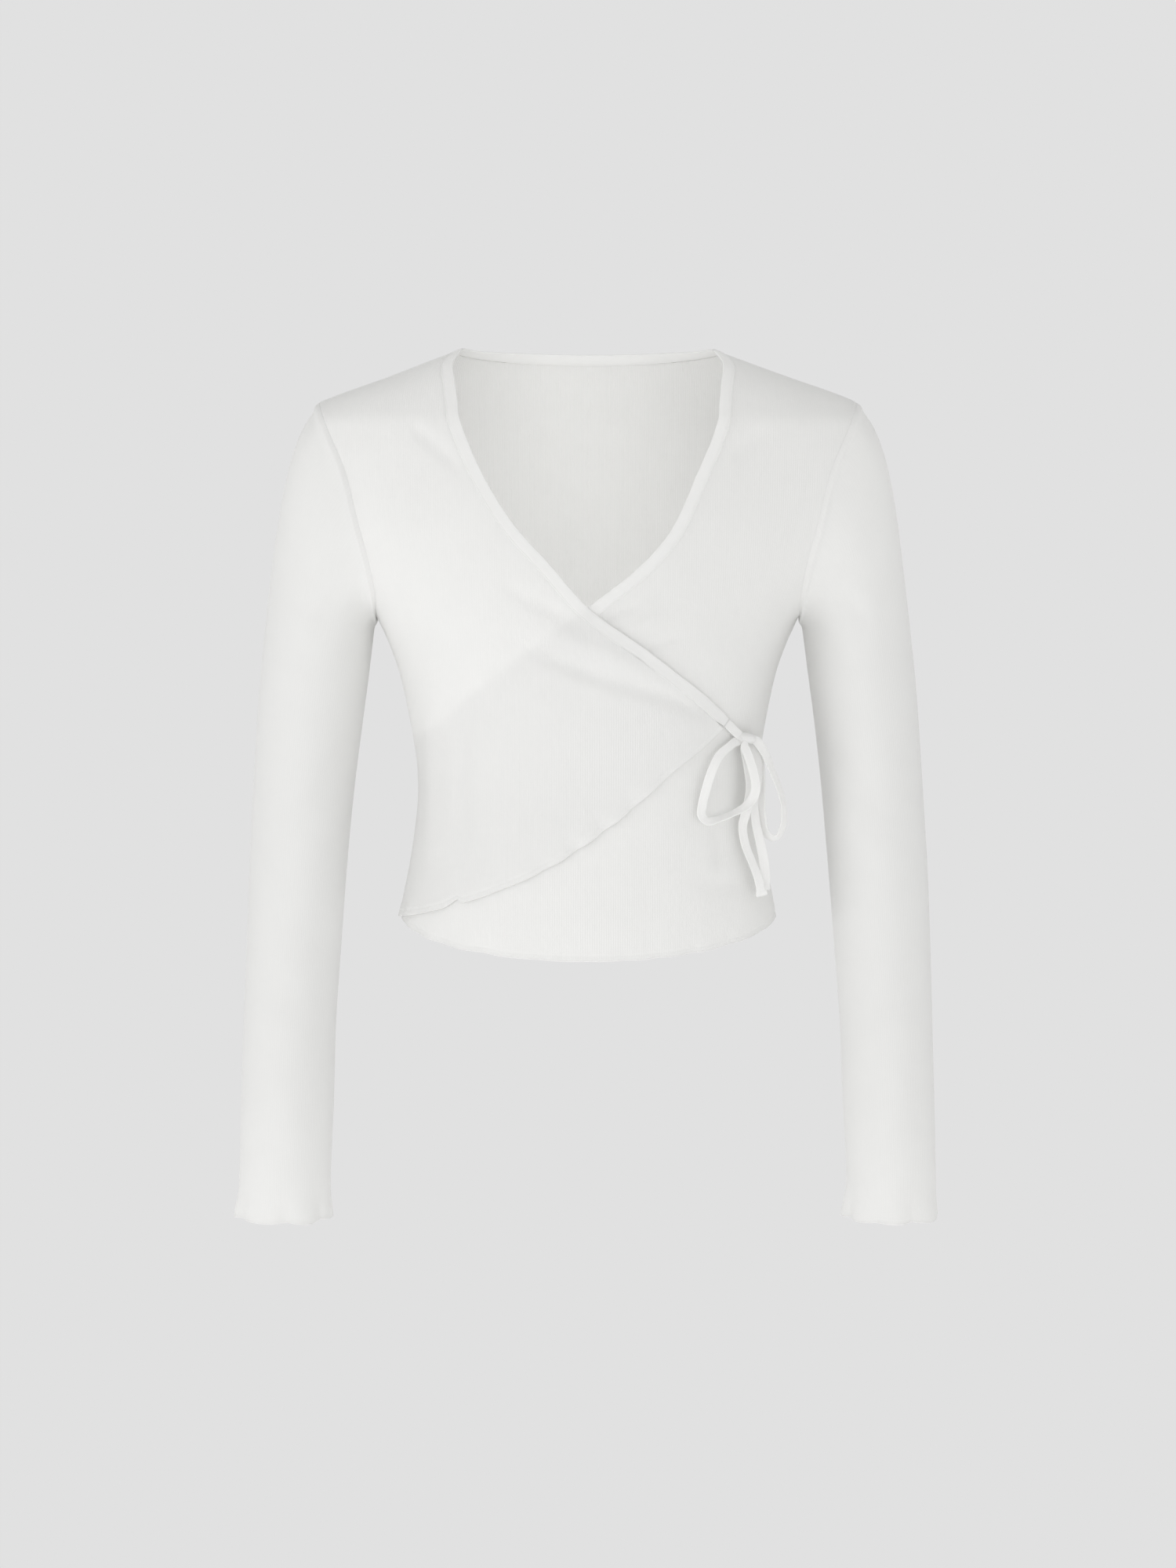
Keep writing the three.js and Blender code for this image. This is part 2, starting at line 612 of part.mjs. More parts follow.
function backNeckSeam() {
  const half = seenPoints(NECK_SEAM_BACK, 1);
  const mirrored = half.slice(0, -1).map((point) => new THREE.Vector3(-point.x, point.y, point.z));
  const points = [neckCorner(1), ...half, ...mirrored.reverse(), neckCorner(-1)];
  return curveOnTorso(points, BACK_NECK_COLUMNS);
}

function backGrid() {
  const columns = 2 * BACK_SHOULDER_COLUMNS + BACK_NECK_COLUMNS;
  const [left, right] = [1, -1].map((side) => shoulderSeam(side, BACK_SHOULDER_COLUMNS));
  return patch({
    bottom: hemEdge(1, 1, HEM_DIP_BACK, columns),
    top: [...left, ...backNeckSeam().slice(1, -1), ...right.reverse()],
    left: sideEdge(1, 1),
    right: sideEdge(-1, 1),
    facing: 1,
  });
}

// ---- Neck bindings ----

// A strip on the torso beside a panel's edge. seam is that edge and inside is the panel's next
// line of points, away from which the strip goes. lift raises it off the torso at each station.
function makeBinding(name, seam, inside, lift) {
  const inwards = inwardDirections(seam, seam.map(torsoNormal), inside);
  const grid = seam.map((point, i) => BINDING_STATIONS.map((share) => {
    const reach = SEAM_GAP / 2 + share * BINDING_WIDTH;
    return ontoTorso(point.clone().addScaledVector(inwards[i], -reach));
  }));
  const normals = grid.map((row) => row.map(torsoNormal));
  openSeam(grid[0], normals[0], grid[1]);
  openSeam(grid.at(-1), normals.at(-1), grid.at(-2));
  const rounded = (j) => (j % (BINDING_STATIONS.length - 1) === 0 ? 0 : BINDING_PROUD);
  const outer = moved(grid, normals, (i, j) => lift(i) + rounded(j));
  const inner = moved(grid, normals, (i, j) => lift(i) - BINDING_INSIDE + (BINDING_PROUD - rounded(j)));
  return wallMesh(name, foldedStrip(), outer, inner);
}

function makeBindings(rightGrid, leftGrid, back) {
  const firstNeckRow = UNDER_SIDE_ROWS;
  const [neckStart, neckEnd] = BACK_NECK_CORNERS;
  const leftLift = (i) => -underFrontSunk(i + firstNeckRow, LEFT_COLUMNS);
  return [
    makeBinding("binding_right", columnOf(rightGrid, -1), columnOf(rightGrid, -2), () => 0),
    makeBinding("binding_left", columnOf(leftGrid, -1).slice(firstNeckRow),
      columnOf(leftGrid, -2).slice(firstNeckRow), leftLift),
    makeBinding("binding_back", back.at(-1).slice(neckStart, neckEnd + 1),
      back.at(-2).slice(neckStart, neckEnd + 1), () => 0),
  ];
}

// ---- Ties ----

const tiePoint = ({ across, drop, ahead }) => new THREE.Vector3(across, -ahead, heightOf(drop));

function makeKnot() {
  const geometry = new THREE.IcosahedronGeometry(1, KNOT_ROUNDS);
  geometry.deleteAttribute("normal");
  geometry.deleteAttribute("uv");
  const mesh = new THREE.Mesh(geometry, foldedStrip());
  mesh.scale.set(KNOT.halfLength, KNOT.halfDepth, KNOT.halfHeight);
  mesh.rotation.z = Math.atan2(BOW_FACING.x, -BOW_FACING.y);
  mesh.position.copy(tiePoint(KNOT));
  mesh.name = "tie_knot";
  return mesh;
}

// A flat strip along a line of points, its broad side turned to facing(i).
function makeStrip(name, line, facing) {
  const [half, thin] = [TIE_WIDTH / 2, TIE_THICKNESS / 2];
  const flat = half * TIE_FLAT_SHARE;
  const section = [[-half, 0], [-flat, thin], [flat, thin], [half, 0], [flat, -thin], [-flat, -thin]];
  const rings = line.map((point, i) => {
    const along = tangentAt(line, i);
    const wide = along.clone().cross(facing(i)).normalize();
    const out = wide.clone().cross(along).normalize();
    return section.map(([across, up]) =>
      point.clone().addScaledVector(wide, across).addScaledVector(out, up));
  });
  return cappedTube(name, rings);
}

function cappedTube(name, rings) {
  const sides = rings[0].length;
  const positions = rings.flat().flatMap((point) => point.toArray());
  const triangles = [];
  for (let i = 0; i < rings.length - 1; i++) {
    for (let j = 0; j < sides; j++) {
      const [a, b] = [i * sides + j, i * sides + ((j + 1) % sides)];
      triangles.push(a, b, b + sides, a, b + sides, a + sides);
    }
  }
  const last = (rings.length - 1) * sides;
  for (let j = 1; j < sides - 1; j++) {
    triangles.push(0, j + 1, j, last, last + j, last + j + 1);
  }
  return closedMesh(name, foldedStrip(), positions, triangles);
}

function makeTie(name, route) {
  const curve = new THREE.CatmullRomCurve3(route.map(tiePoint));
  const steps = Math.round(curve.getLength() / TIE_STEP);
  const line = curve.getSpacedPoints(steps);
  const liesOnCloth = name.endsWith("root");
  return makeStrip(name, line, (i) => (liesOnCloth ? torsoNormal(line[i]) : BOW_FACING));
}

function makeCardigan() {
  const [rightGrid, leftGrid, back] = [rightFrontGrid(), leftFrontGrid(), backGrid()];
  const group = new THREE.Group();
  group.add(...makeBindings(rightGrid, leftGrid, back));
  group.add(makePanel({
    name: "front_right",
    grid: rightGrid,
    facing: -1,
    armholes: [{ column: 0, side: -1 }],
    corners: { left: [SIDE_ROWS] },
  }));
  group.add(makePanel({
    name: "front_left",
    grid: leftGrid,
    facing: -1,
    armholes: [{ column: 0, side: 1 }],
    corners: { left: [SIDE_ROWS], right: [UNDER_SIDE_ROWS] },
    sunk: underFrontSunk,
  }));
  group.add(makePanel({
    name: "back",
    grid: back,
    facing: 1,
    armholes: [{ column: 0, side: 1 }, { column: -1, side: -1 }],
    corners: { left: [SIDE_ROWS], right: [SIDE_ROWS], top: BACK_NECK_CORNERS },
  }));
  group.add(makeSleeve("sleeve_right", -1), makeSleeve("sleeve_left", 1));
  group.add(makeKnot());
  for (const [name, route] of Object.entries(TIE_ROUTES)) group.add(makeTie(name, route));
  return group;
}

export default makeCardigan();
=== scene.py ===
"""A cropped wrap cardigan in fine white jersey, filled out and hollow, with its bow tied.

Metres, +Z up, the front faces -Y and the wearer's left is +X. The origin is the middle of the
line across the wearer's shoulders. Every panel is a thin shell on one torso form, a stack of
rounded level outlines, and has the edges of its CAD solid.
"""
import json
import math
from collections import namedtuple

import bpy
import numpy as np
from mathutils import Vector
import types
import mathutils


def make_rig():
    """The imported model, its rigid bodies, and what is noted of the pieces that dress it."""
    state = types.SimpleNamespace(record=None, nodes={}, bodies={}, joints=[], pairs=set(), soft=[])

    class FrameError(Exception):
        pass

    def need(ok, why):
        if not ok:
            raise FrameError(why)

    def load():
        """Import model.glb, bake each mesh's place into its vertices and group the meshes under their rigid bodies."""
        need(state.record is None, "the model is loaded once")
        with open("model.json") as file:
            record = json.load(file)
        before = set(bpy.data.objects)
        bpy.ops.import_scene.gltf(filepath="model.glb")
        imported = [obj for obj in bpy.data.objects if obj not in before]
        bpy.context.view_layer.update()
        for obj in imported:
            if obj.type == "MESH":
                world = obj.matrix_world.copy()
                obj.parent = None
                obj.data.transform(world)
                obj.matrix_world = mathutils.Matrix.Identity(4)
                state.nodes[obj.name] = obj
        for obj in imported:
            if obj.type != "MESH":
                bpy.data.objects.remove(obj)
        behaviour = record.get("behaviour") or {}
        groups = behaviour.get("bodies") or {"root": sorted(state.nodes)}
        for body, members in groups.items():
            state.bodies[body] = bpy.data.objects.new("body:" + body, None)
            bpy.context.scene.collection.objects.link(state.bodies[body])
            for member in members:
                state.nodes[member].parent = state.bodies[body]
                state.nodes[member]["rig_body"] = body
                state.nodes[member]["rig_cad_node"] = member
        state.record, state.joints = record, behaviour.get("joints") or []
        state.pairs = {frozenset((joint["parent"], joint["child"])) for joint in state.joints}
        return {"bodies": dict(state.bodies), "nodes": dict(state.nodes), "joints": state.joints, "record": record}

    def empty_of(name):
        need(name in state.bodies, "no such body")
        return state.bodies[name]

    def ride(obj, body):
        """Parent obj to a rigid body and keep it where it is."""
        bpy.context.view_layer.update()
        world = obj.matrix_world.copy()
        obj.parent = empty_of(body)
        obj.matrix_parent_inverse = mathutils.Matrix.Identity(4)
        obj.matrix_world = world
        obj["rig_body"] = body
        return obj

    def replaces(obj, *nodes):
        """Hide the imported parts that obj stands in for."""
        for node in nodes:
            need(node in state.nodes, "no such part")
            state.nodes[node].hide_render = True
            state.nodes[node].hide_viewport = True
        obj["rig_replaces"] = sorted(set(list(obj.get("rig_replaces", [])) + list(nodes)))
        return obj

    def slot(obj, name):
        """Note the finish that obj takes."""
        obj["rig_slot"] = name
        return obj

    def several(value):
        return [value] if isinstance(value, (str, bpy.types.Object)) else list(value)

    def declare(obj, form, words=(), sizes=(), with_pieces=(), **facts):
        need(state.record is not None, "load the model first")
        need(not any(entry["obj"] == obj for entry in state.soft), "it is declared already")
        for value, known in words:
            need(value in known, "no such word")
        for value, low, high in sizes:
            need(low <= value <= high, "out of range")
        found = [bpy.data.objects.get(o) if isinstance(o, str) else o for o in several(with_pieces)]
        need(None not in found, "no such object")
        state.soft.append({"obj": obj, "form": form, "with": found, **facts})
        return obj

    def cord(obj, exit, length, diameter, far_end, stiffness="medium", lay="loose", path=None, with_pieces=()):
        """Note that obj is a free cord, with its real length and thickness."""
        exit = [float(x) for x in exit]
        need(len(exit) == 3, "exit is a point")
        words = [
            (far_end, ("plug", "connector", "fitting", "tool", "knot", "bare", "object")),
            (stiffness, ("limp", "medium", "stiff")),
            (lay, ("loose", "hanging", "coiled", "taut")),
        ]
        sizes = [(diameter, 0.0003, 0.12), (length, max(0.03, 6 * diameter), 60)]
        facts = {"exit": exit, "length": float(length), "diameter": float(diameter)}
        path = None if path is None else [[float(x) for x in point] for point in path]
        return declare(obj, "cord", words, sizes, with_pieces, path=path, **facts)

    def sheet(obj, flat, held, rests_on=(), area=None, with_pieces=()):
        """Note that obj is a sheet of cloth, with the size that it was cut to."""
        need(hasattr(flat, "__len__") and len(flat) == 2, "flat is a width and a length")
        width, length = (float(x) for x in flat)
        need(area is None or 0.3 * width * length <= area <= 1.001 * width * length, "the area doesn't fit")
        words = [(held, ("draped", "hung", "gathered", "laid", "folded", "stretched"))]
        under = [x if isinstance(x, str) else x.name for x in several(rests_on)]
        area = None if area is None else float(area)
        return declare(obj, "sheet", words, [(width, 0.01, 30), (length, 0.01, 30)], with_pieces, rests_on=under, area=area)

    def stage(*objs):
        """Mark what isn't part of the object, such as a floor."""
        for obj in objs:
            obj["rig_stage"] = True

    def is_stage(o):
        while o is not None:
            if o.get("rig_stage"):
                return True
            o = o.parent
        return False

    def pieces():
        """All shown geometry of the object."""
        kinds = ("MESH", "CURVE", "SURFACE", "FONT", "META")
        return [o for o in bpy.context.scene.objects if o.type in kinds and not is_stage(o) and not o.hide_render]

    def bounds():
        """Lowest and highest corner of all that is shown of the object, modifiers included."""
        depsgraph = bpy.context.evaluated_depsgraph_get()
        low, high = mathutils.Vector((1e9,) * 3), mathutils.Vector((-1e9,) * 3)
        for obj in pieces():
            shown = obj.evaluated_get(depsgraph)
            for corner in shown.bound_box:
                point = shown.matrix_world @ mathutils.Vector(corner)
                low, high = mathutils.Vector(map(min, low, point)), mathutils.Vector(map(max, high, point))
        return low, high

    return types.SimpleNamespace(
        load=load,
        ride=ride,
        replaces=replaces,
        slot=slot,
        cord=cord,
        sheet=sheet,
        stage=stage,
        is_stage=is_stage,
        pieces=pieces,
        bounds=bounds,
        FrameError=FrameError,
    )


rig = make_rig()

for spare in list(bpy.data.objects):
    bpy.data.objects.remove(spare)

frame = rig.load()
cad_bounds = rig.bounds()

MM = 0.001
UPWARDS = np.array([0, 0, 1.0])
RIGHT, LEFT = -1, 1  # the wearer's sides
FRONT, BACK = -1, 1  # the two faces of the torso

# ---- Sizes of the garment ----

# Heights are given as a drop, the distance below the neck points.
NECK_HEIGHT = 0.019
NECK_HALF_WIDTH = 0.0865
SHOULDER_DROP = 0.0384
SHOULDER_SLOPE = 2.69
UNDERARM_DROP = 0.190
HEM_DROP = 0.405
HEM_DIP_FRONT = 0.019
HEM_DIP_BACK = 0.012
HEM_DIP_POWER = 1.6
NECK_SEAM_DROP = 0.003
UNDER_EDGE_DROP = 0.286
ROUNDNESS = 2.2

WALL = 1.0 * MM
LAYER_STEP = 2.6 * MM
SINKING_SHARE = 0.2
COMING_OUT = 0.45  # the share of the step by which the under front comes out at the far side seam
BINDING_WIDTH = 8 * MM

Level = namedtuple("Level", "drop half_width front back")
Place = namedtuple("Place", "across drop")
Ring = namedtuple("Ring", "outer outer_drop inner inner_drop depth forward")


def table(kind, rows):
    return [kind(*row) for row in rows]


def shoulder_width(drop):
    return NECK_HALF_WIDTH + SHOULDER_SLOPE * drop


# The torso's level outlines: half the width, and the depths in front of and behind the shoulders.
TORSO_LEVELS = table(Level, [
    (0, NECK_HALF_WIDTH, 0.045, 0.058),
    (SHOULDER_DROP / 2, shoulder_width(SHOULDER_DROP / 2), 0.052, 0.066),
    (SHOULDER_DROP, shoulder_width(SHOULDER_DROP), 0.060, 0.072), (0.048, 0.208, 0.065, 0.076),
    (0.062, 0.215, 0.070, 0.080), (0.085, 0.212, 0.078, 0.085), (0.110, 0.203, 0.086, 0.089),
    (0.140, 0.184, 0.094, 0.091), (0.170, 0.163, 0.100, 0.090), (UNDERARM_DROP, 0.150, 0.103, 0.088),
    (0.220, 0.137, 0.104, 0.084), (0.254, 0.1285, 0.100, 0.078), (0.310, 0.1215, 0.092, 0.070),
    (0.355, 0.1255, 0.091, 0.073), (HEM_DROP, 0.1348, 0.094, 0.080), (0.450, 0.140, 0.097, 0.084),
])

# The armhole seam, seen from the front.
ARMHOLE = table(Place, [
    (shoulder_width(SHOULDER_DROP), SHOULDER_DROP), (0.181, 0.059), (0.171, 0.081), (0.1605, 0.120),
    (0.151, 0.159), (0.149, 0.176), (0.150, UNDERARM_DROP),
])

# The seam of the outer front to its neck binding, from the shoulder down to the tie.
NECK_SEAM_RIGHT = table(Place, [
    (-0.0985, 0.006), (-0.1015, 0.022), (-0.0985, 0.043), (-0.092, 0.065), (-0.080, 0.091),
    (-0.057, 0.127), (-0.034, 0.152), (-0.005, 0.184), (0.035, 0.213), (0.058, 0.231), (0.077, 0.2465),
    (0.094, 0.2635),
])

# The same seam of the under front, which runs on to the far side seam.
NECK_SEAM_LEFT = table(Place, [
    (0.0985, 0.006), (0.1015, 0.022), (0.0995, 0.043), (0.094, 0.065), (0.083, 0.090), (0.064, 0.130),
    (0.043, 0.154), (0.010, 0.180), (-0.035, 0.213), (-0.077, 0.246), (-0.106, 0.272),
])

# The back neck seam, seen from behind, in from the shoulder line to the middle.
NECK_SEAM_BACK = table(Place, [(0.092, 0.0045), (0.077, 0.008), (0.045, 0.0115), (0, 0.013)])

# The outer front's hem, from the wrap corner back to the right side seam.
WRAP_HEM = table(Place, [
    (0.084, 0.273), (0.062, 0.290), (0.020, 0.326), (-0.028, 0.359), (-0.073, 0.380), (-0.115, 0.395),
])

# The sleeve's rings. outer and inner are the ring's ends away from and next to the body.
SLEEVE_RINGS = table(Ring, [
    (0.190, SHOULDER_DROP, 0.150, UNDERARM_DROP, 0.056, 0), (0.2032, 0.059, 0.1503, 0.1915, 0.054, 0),
    (0.2123, 0.0865, 0.1507, 0.193, 0.052, 0), (0.219, 0.122, 0.1512, 0.1945, 0.050, 0),
    (0.225, 0.164, 0.1518, 0.1965, 0.048, 0), (0.2295, 0.200, 0.1528, 0.202, 0.047, 0),
    (0.233, 0.231, 0.1565, 0.231, 0.046, 0), (0.236, 0.265, 0.161, 0.265, 0.045, -0.001),
    (0.239, 0.310, 0.1663, 0.310, 0.043, -0.001), (0.2424, 0.366, 0.1717, 0.366, 0.041, 0),
    (0.2446, 0.423, 0.1765, 0.423, 0.038, 0.002), (0.2467, 0.480, 0.1808, 0.480, 0.036, 0.005),
    (0.2487, 0.537, 0.1828, 0.537, 0.034, 0.009), (0.2498, 0.580, 0.1848, 0.580, 0.0325, 0.012),
    (0.2504, 0.601, 0.1848, 0.601, 0.033, 0.013), (0.2524, 0.619, 0.1826, 0.619, 0.0355, 0.014),
])
LAST_HEAD_RING = 5

# How finely lines and shells are divided. The steps next to most edges are finer than the rest.
CURVE_STEPS = 24
LINE_POINTS = 400
SLEEVE_LINE_POINTS = 600
FINENESS = 0.86
FINE_STEPS = 11
SIDE_ROWS = 64
ARMHOLE_ROWS = 72
UNDER_SIDE_ROWS = 30
FRONT_COLUMNS = 120
BACK_SHOULDER_COLUMNS = 34
BACK_NECK_COLUMNS = 76
SLEEVE_COLUMNS = 96
SLEEVE_ROWS = 200


# ---- The torso form ----

def curve_through(at, value):
    """A smooth function of one variable through some values. Below the first it goes on straight."""
    at, value = np.asarray(at, float), np.asarray(value, float)
    span = np.diff(at)
    rise = np.diff(value) / span
    inner = (span[1:] * rise[:-1] + span[:-1] * rise[1:]) / (span[1:] + span[:-1])
    slope = np.concatenate([rise[:1], inner, rise[-1:]])

    def curve(x):
        x = np.asarray(x, float)
        i = np.clip(np.searchsorted(at, x, side="right") - 1, 0, len(span) - 1)
        t = (x - at[i]) / span[i]
        start = (1 + 2 * t) * (1 - t) ** 2 * value[i] + t * (1 - t) ** 2 * span[i] * slope[i]
        end = (3 - 2 * t) * t ** 2 * value[i + 1] - (1 - t) * t ** 2 * span[i] * slope[i + 1]
        return np.where(x < at[0], value[0] + slope[0] * (x - at[0]), start + end)

    return curve


def column(rows, name):
    return curve_through([row.drop for row in rows], [getattr(row, name) for row in rows])


half_width_at = column(TORSO_LEVELS, "half_width")
front_depth_at = column(TORSO_LEVELS, "front")
back_depth_at = column(TORSO_LEVELS, "back")
armhole_at = column(ARMHOLE, "across")


def depth_at(drop, in_front):
    return np.where(in_front, front_depth_at(drop), back_depth_at(drop))


def drop_of(p):
    return NECK_HEIGHT - p[..., 2]


def smoothstep(x, low, high):
    t = np.clip((x - low) / (high - low), 0, 1)
    return t * t * (3 - 2 * t)


def round_turns(count):
    return np.linspace(0, 2 * np.pi, count, endpoint=False)


def bell(distance, reach):
    """1 at no distance, falling softly to about a third at the reach and to nothing beyond."""
    return np.exp(-(distance / reach) ** 2)


def torso_level(p):
    """1 on the torso's surface, less inside it."""
    drop = drop_of(p)
    across = np.abs(p[..., 0]) / half_width_at(drop)
    deep = np.abs(p[..., 1]) / depth_at(drop, p[..., 1] < 0)
    return across ** ROUNDNESS + deep ** ROUNDNESS


def onto_torso(p):
    """Slides points level onto the torso's surface."""
    scale = torso_level(p) ** (-1 / ROUNDNESS)
    return np.stack([p[..., 0] * scale, p[..., 1] * scale, p[..., 2]], -1)


def unit(v):
    return v / np.maximum(np.linalg.norm(v, axis=-1, keepdims=True), 1e-12)


def torso_normal(p):
    step = 0.05 * MM
    slopes = [torso_level(p + step * way) - torso_level(p - step * way) for way in np.eye(3)]
    return unit(np.stack(slopes, -1))


def torso_point(across, drop, facing):
    """The torso's point at a place seen from the front or from behind."""
    across, drop = np.broadcast_arrays(np.asarray(across, float), np.asarray(drop, float))
    depth = depth_at(drop, facing == FRONT)
    filled = np.minimum((np.abs(across) / half_width_at(drop)) ** ROUNDNESS, 1)
    return np.stack([across, facing * depth * (1 - filled) ** (1 / ROUNDNESS), NECK_HEIGHT - drop], -1)


def side_point(side, drop):
    drop = np.asarray(drop, float)
    return np.stack([side * half_width_at(drop), 0 * drop, NECK_HEIGHT - drop], -1)


def turn_of(p):
    """The turn of torso points about the upright middle line, from the wearer's left side."""
    drop = drop_of(p)
    deep = np.abs(p[..., 1]) / depth_at(drop, p[..., 1] < 0)
    return np.arctan2(deep, p[..., 0] / half_width_at(drop))


def at_turn(turn, z, facing):
    drop = NECK_HEIGHT - z
    x = np.cos(turn) * half_width_at(drop)
    y = facing * np.sin(turn) * depth_at(drop, facing == FRONT)
    return onto_torso(np.stack(np.broadcast_arrays(x, y, z), -1))


def across_cloth(p, facing, steps=24):
    """How far torso points lie round the torso from its middle line, along a level outline."""
    turn = turn_of(p)
    length = np.zeros(turn.shape)
    before = at_turn(np.full(turn.shape, np.pi / 2), p[..., 2], facing)
    for share in np.linspace(0, 1, steps + 1)[1:]:
        here = at_turn(np.pi / 2 + share * (turn - np.pi / 2), p[..., 2], facing)
        length += np.linalg.norm(here - before, axis=-1)
        before = here
    return length * np.sign(p[..., 0])


# ---- Lines ----

def lengths_along(line):
    steps = np.linalg.norm(np.diff(line, axis=0), axis=1)
    return np.concatenate([[0], np.cumsum(steps)])


def shares_along(line):
    lengths = lengths_along(line)
    return lengths / lengths[-1]


def resampled(line, shares):
    """The points of a line at these shares of its length."""
    at = shares_along(line)
    return np.stack([np.interp(shares, at, line[:, k]) for k in range(line.shape[1])], -1)


def smooth_line(points):
    """A centripetal Catmull-Rom curve through points."""
    points = np.asarray(points, float)
    p = np.concatenate([[2 * points[0] - points[1]], points, [2 * points[-1] - points[-2]]])
    gaps = np.sqrt(np.linalg.norm(np.diff(p, axis=0), axis=1))[:, None]
    before, here, after = gaps[:-2], gaps[1:-1], gaps[2:]
    p0, p1, p2, p3 = p[:-3], p[1:-2], p[2:-1], p[3:]
    out = here * ((p1 - p0) / before - (p2 - p0) / (before + here) + (p2 - p1) / here)
    into = here * ((p2 - p1) / here - (p3 - p1) / (here + after) + (p3 - p2) / after)
    t = np.linspace(0, 1, CURVE_STEPS, endpoint=False)[None, :, None]
    a, b, c, d = (v[:, None, :] for v in (p1, out, -3 * p1 + 3 * p2 - 2 * out - into,
                                          2 * p1 - 2 * p2 + out + into))
    curve = (a + b * t + c * t ** 2 + d * t ** 3).reshape(-1, points.shape[1])
    return np.concatenate([curve, points[-1:]])


def curve_on_torso(points, shares):
    return onto_torso(resampled(smooth_line(points), shares))


def graded(count, fine_start=True, fine_end=True):
    """Shares from 0 to 1 in count steps, which are closer together at the ends that need it."""
    k = np.arange(count)
    weights = np.ones(count)
    if fine_start:
        weights -= FINENESS * np.exp(-(k / FINE_STEPS) ** 4)
    if fine_end:
        weights -= FINENESS * np.exp(-((count - 1 - k) / FINE_STEPS) ** 4)
    return np.concatenate([[0], np.cumsum(weights)]) / weights.sum()


def seen_points(rows, facing):
    return [torso_point(row.across, row.drop, facing) for row in rows]


def armhole_line(side, facing, shares):
    """The armhole's points from the underarm to the shoulder tip."""
    upward = (1 - np.cos(np.pi * np.linspace(0, 1, LINE_POINTS))) / 2
    drop = UNDERARM_DROP + upward * (SHOULDER_DROP - UNDERARM_DROP)
    return resampled(torso_point(side * armhole_at(drop), drop, facing), shares)


def side_seam(side, from_drop, to_drop, shares):
    return side_point(side, from_drop + (to_drop - from_drop) * shares)


def side_edge(side, facing):
    """A panel's outer edge on one side: the side seam, then the armhole."""
    seam = side_seam(side, HEM_DROP, UNDERARM_DROP, graded(SIDE_ROWS, True, False))
    armhole = armhole_line(side, facing, graded(ARMHOLE_ROWS, False, True))
    return np.concatenate([seam, armhole[1:]])


ROWS = SIDE_ROWS + ARMHOLE_ROWS
UPWARD = smoothstep(np.arange(ROWS + 1), SIDE_ROWS, ROWS)


def hem_edge(facing, dip, shares):
    """The hem's points from the wearer's left to the right, all round one face of the torso."""
    turn = np.pi * shares
    drop = HEM_DROP + dip * np.maximum(np.sin(turn), 0) ** HEM_DIP_POWER
    return at_turn(turn, NECK_HEIGHT - drop, facing)


def patch(bottom, top, left, right, facing):
    """A grid of torso points inside four edges, as in the CAD model."""
    up = ((shares_along(left) + shares_along(right)) / 2)[:, None]
    along = ((shares_along(bottom) + shares_along(top)) / 2)[None, :]

    def blend(value, top_share):
        ends = [value(edge)[:, None] for edge in (left, right)]
        between = (1 - along) * ends[0] + along * ends[1]
        bends = []
        for edge in (bottom, top):
            line = value(edge)[None, :]
            bends.append(line - (1 - along) * line[:, :1] - along * line[:, -1:])
        return between + (1 - up) * bends[0] + top_share * bends[1]

    turned = at_turn(blend(turn_of, up ** 3), blend(lambda p: p[:, 2], up ** 3), facing)
    straight = np.stack([blend(lambda p, k=k: p[:, k], up) for k in range(3)], -1)
    upwards = UPWARD[:, None, None]
    grid = onto_torso(turned * (1 - upwards) + straight * upwards)
    grid[:, 0], grid[:, -1] = left, right
    grid[0], grid[-1] = bottom, top
    return grid


# ---- Creases ----

CREASE_POINTS = 60
CREASE_FADE = 0.35
UNEVENNESS = 0.28 * MM
SLOW_UNEVENNESS = 0.3 * MM
SLEEVE_UNEVENNESS = 0.3 * MM
SLOW_SLEEVE_UNEVENNESS = 0.35 * MM

Crease = namedtuple("Crease", "height width points facing", defaults=[FRONT])

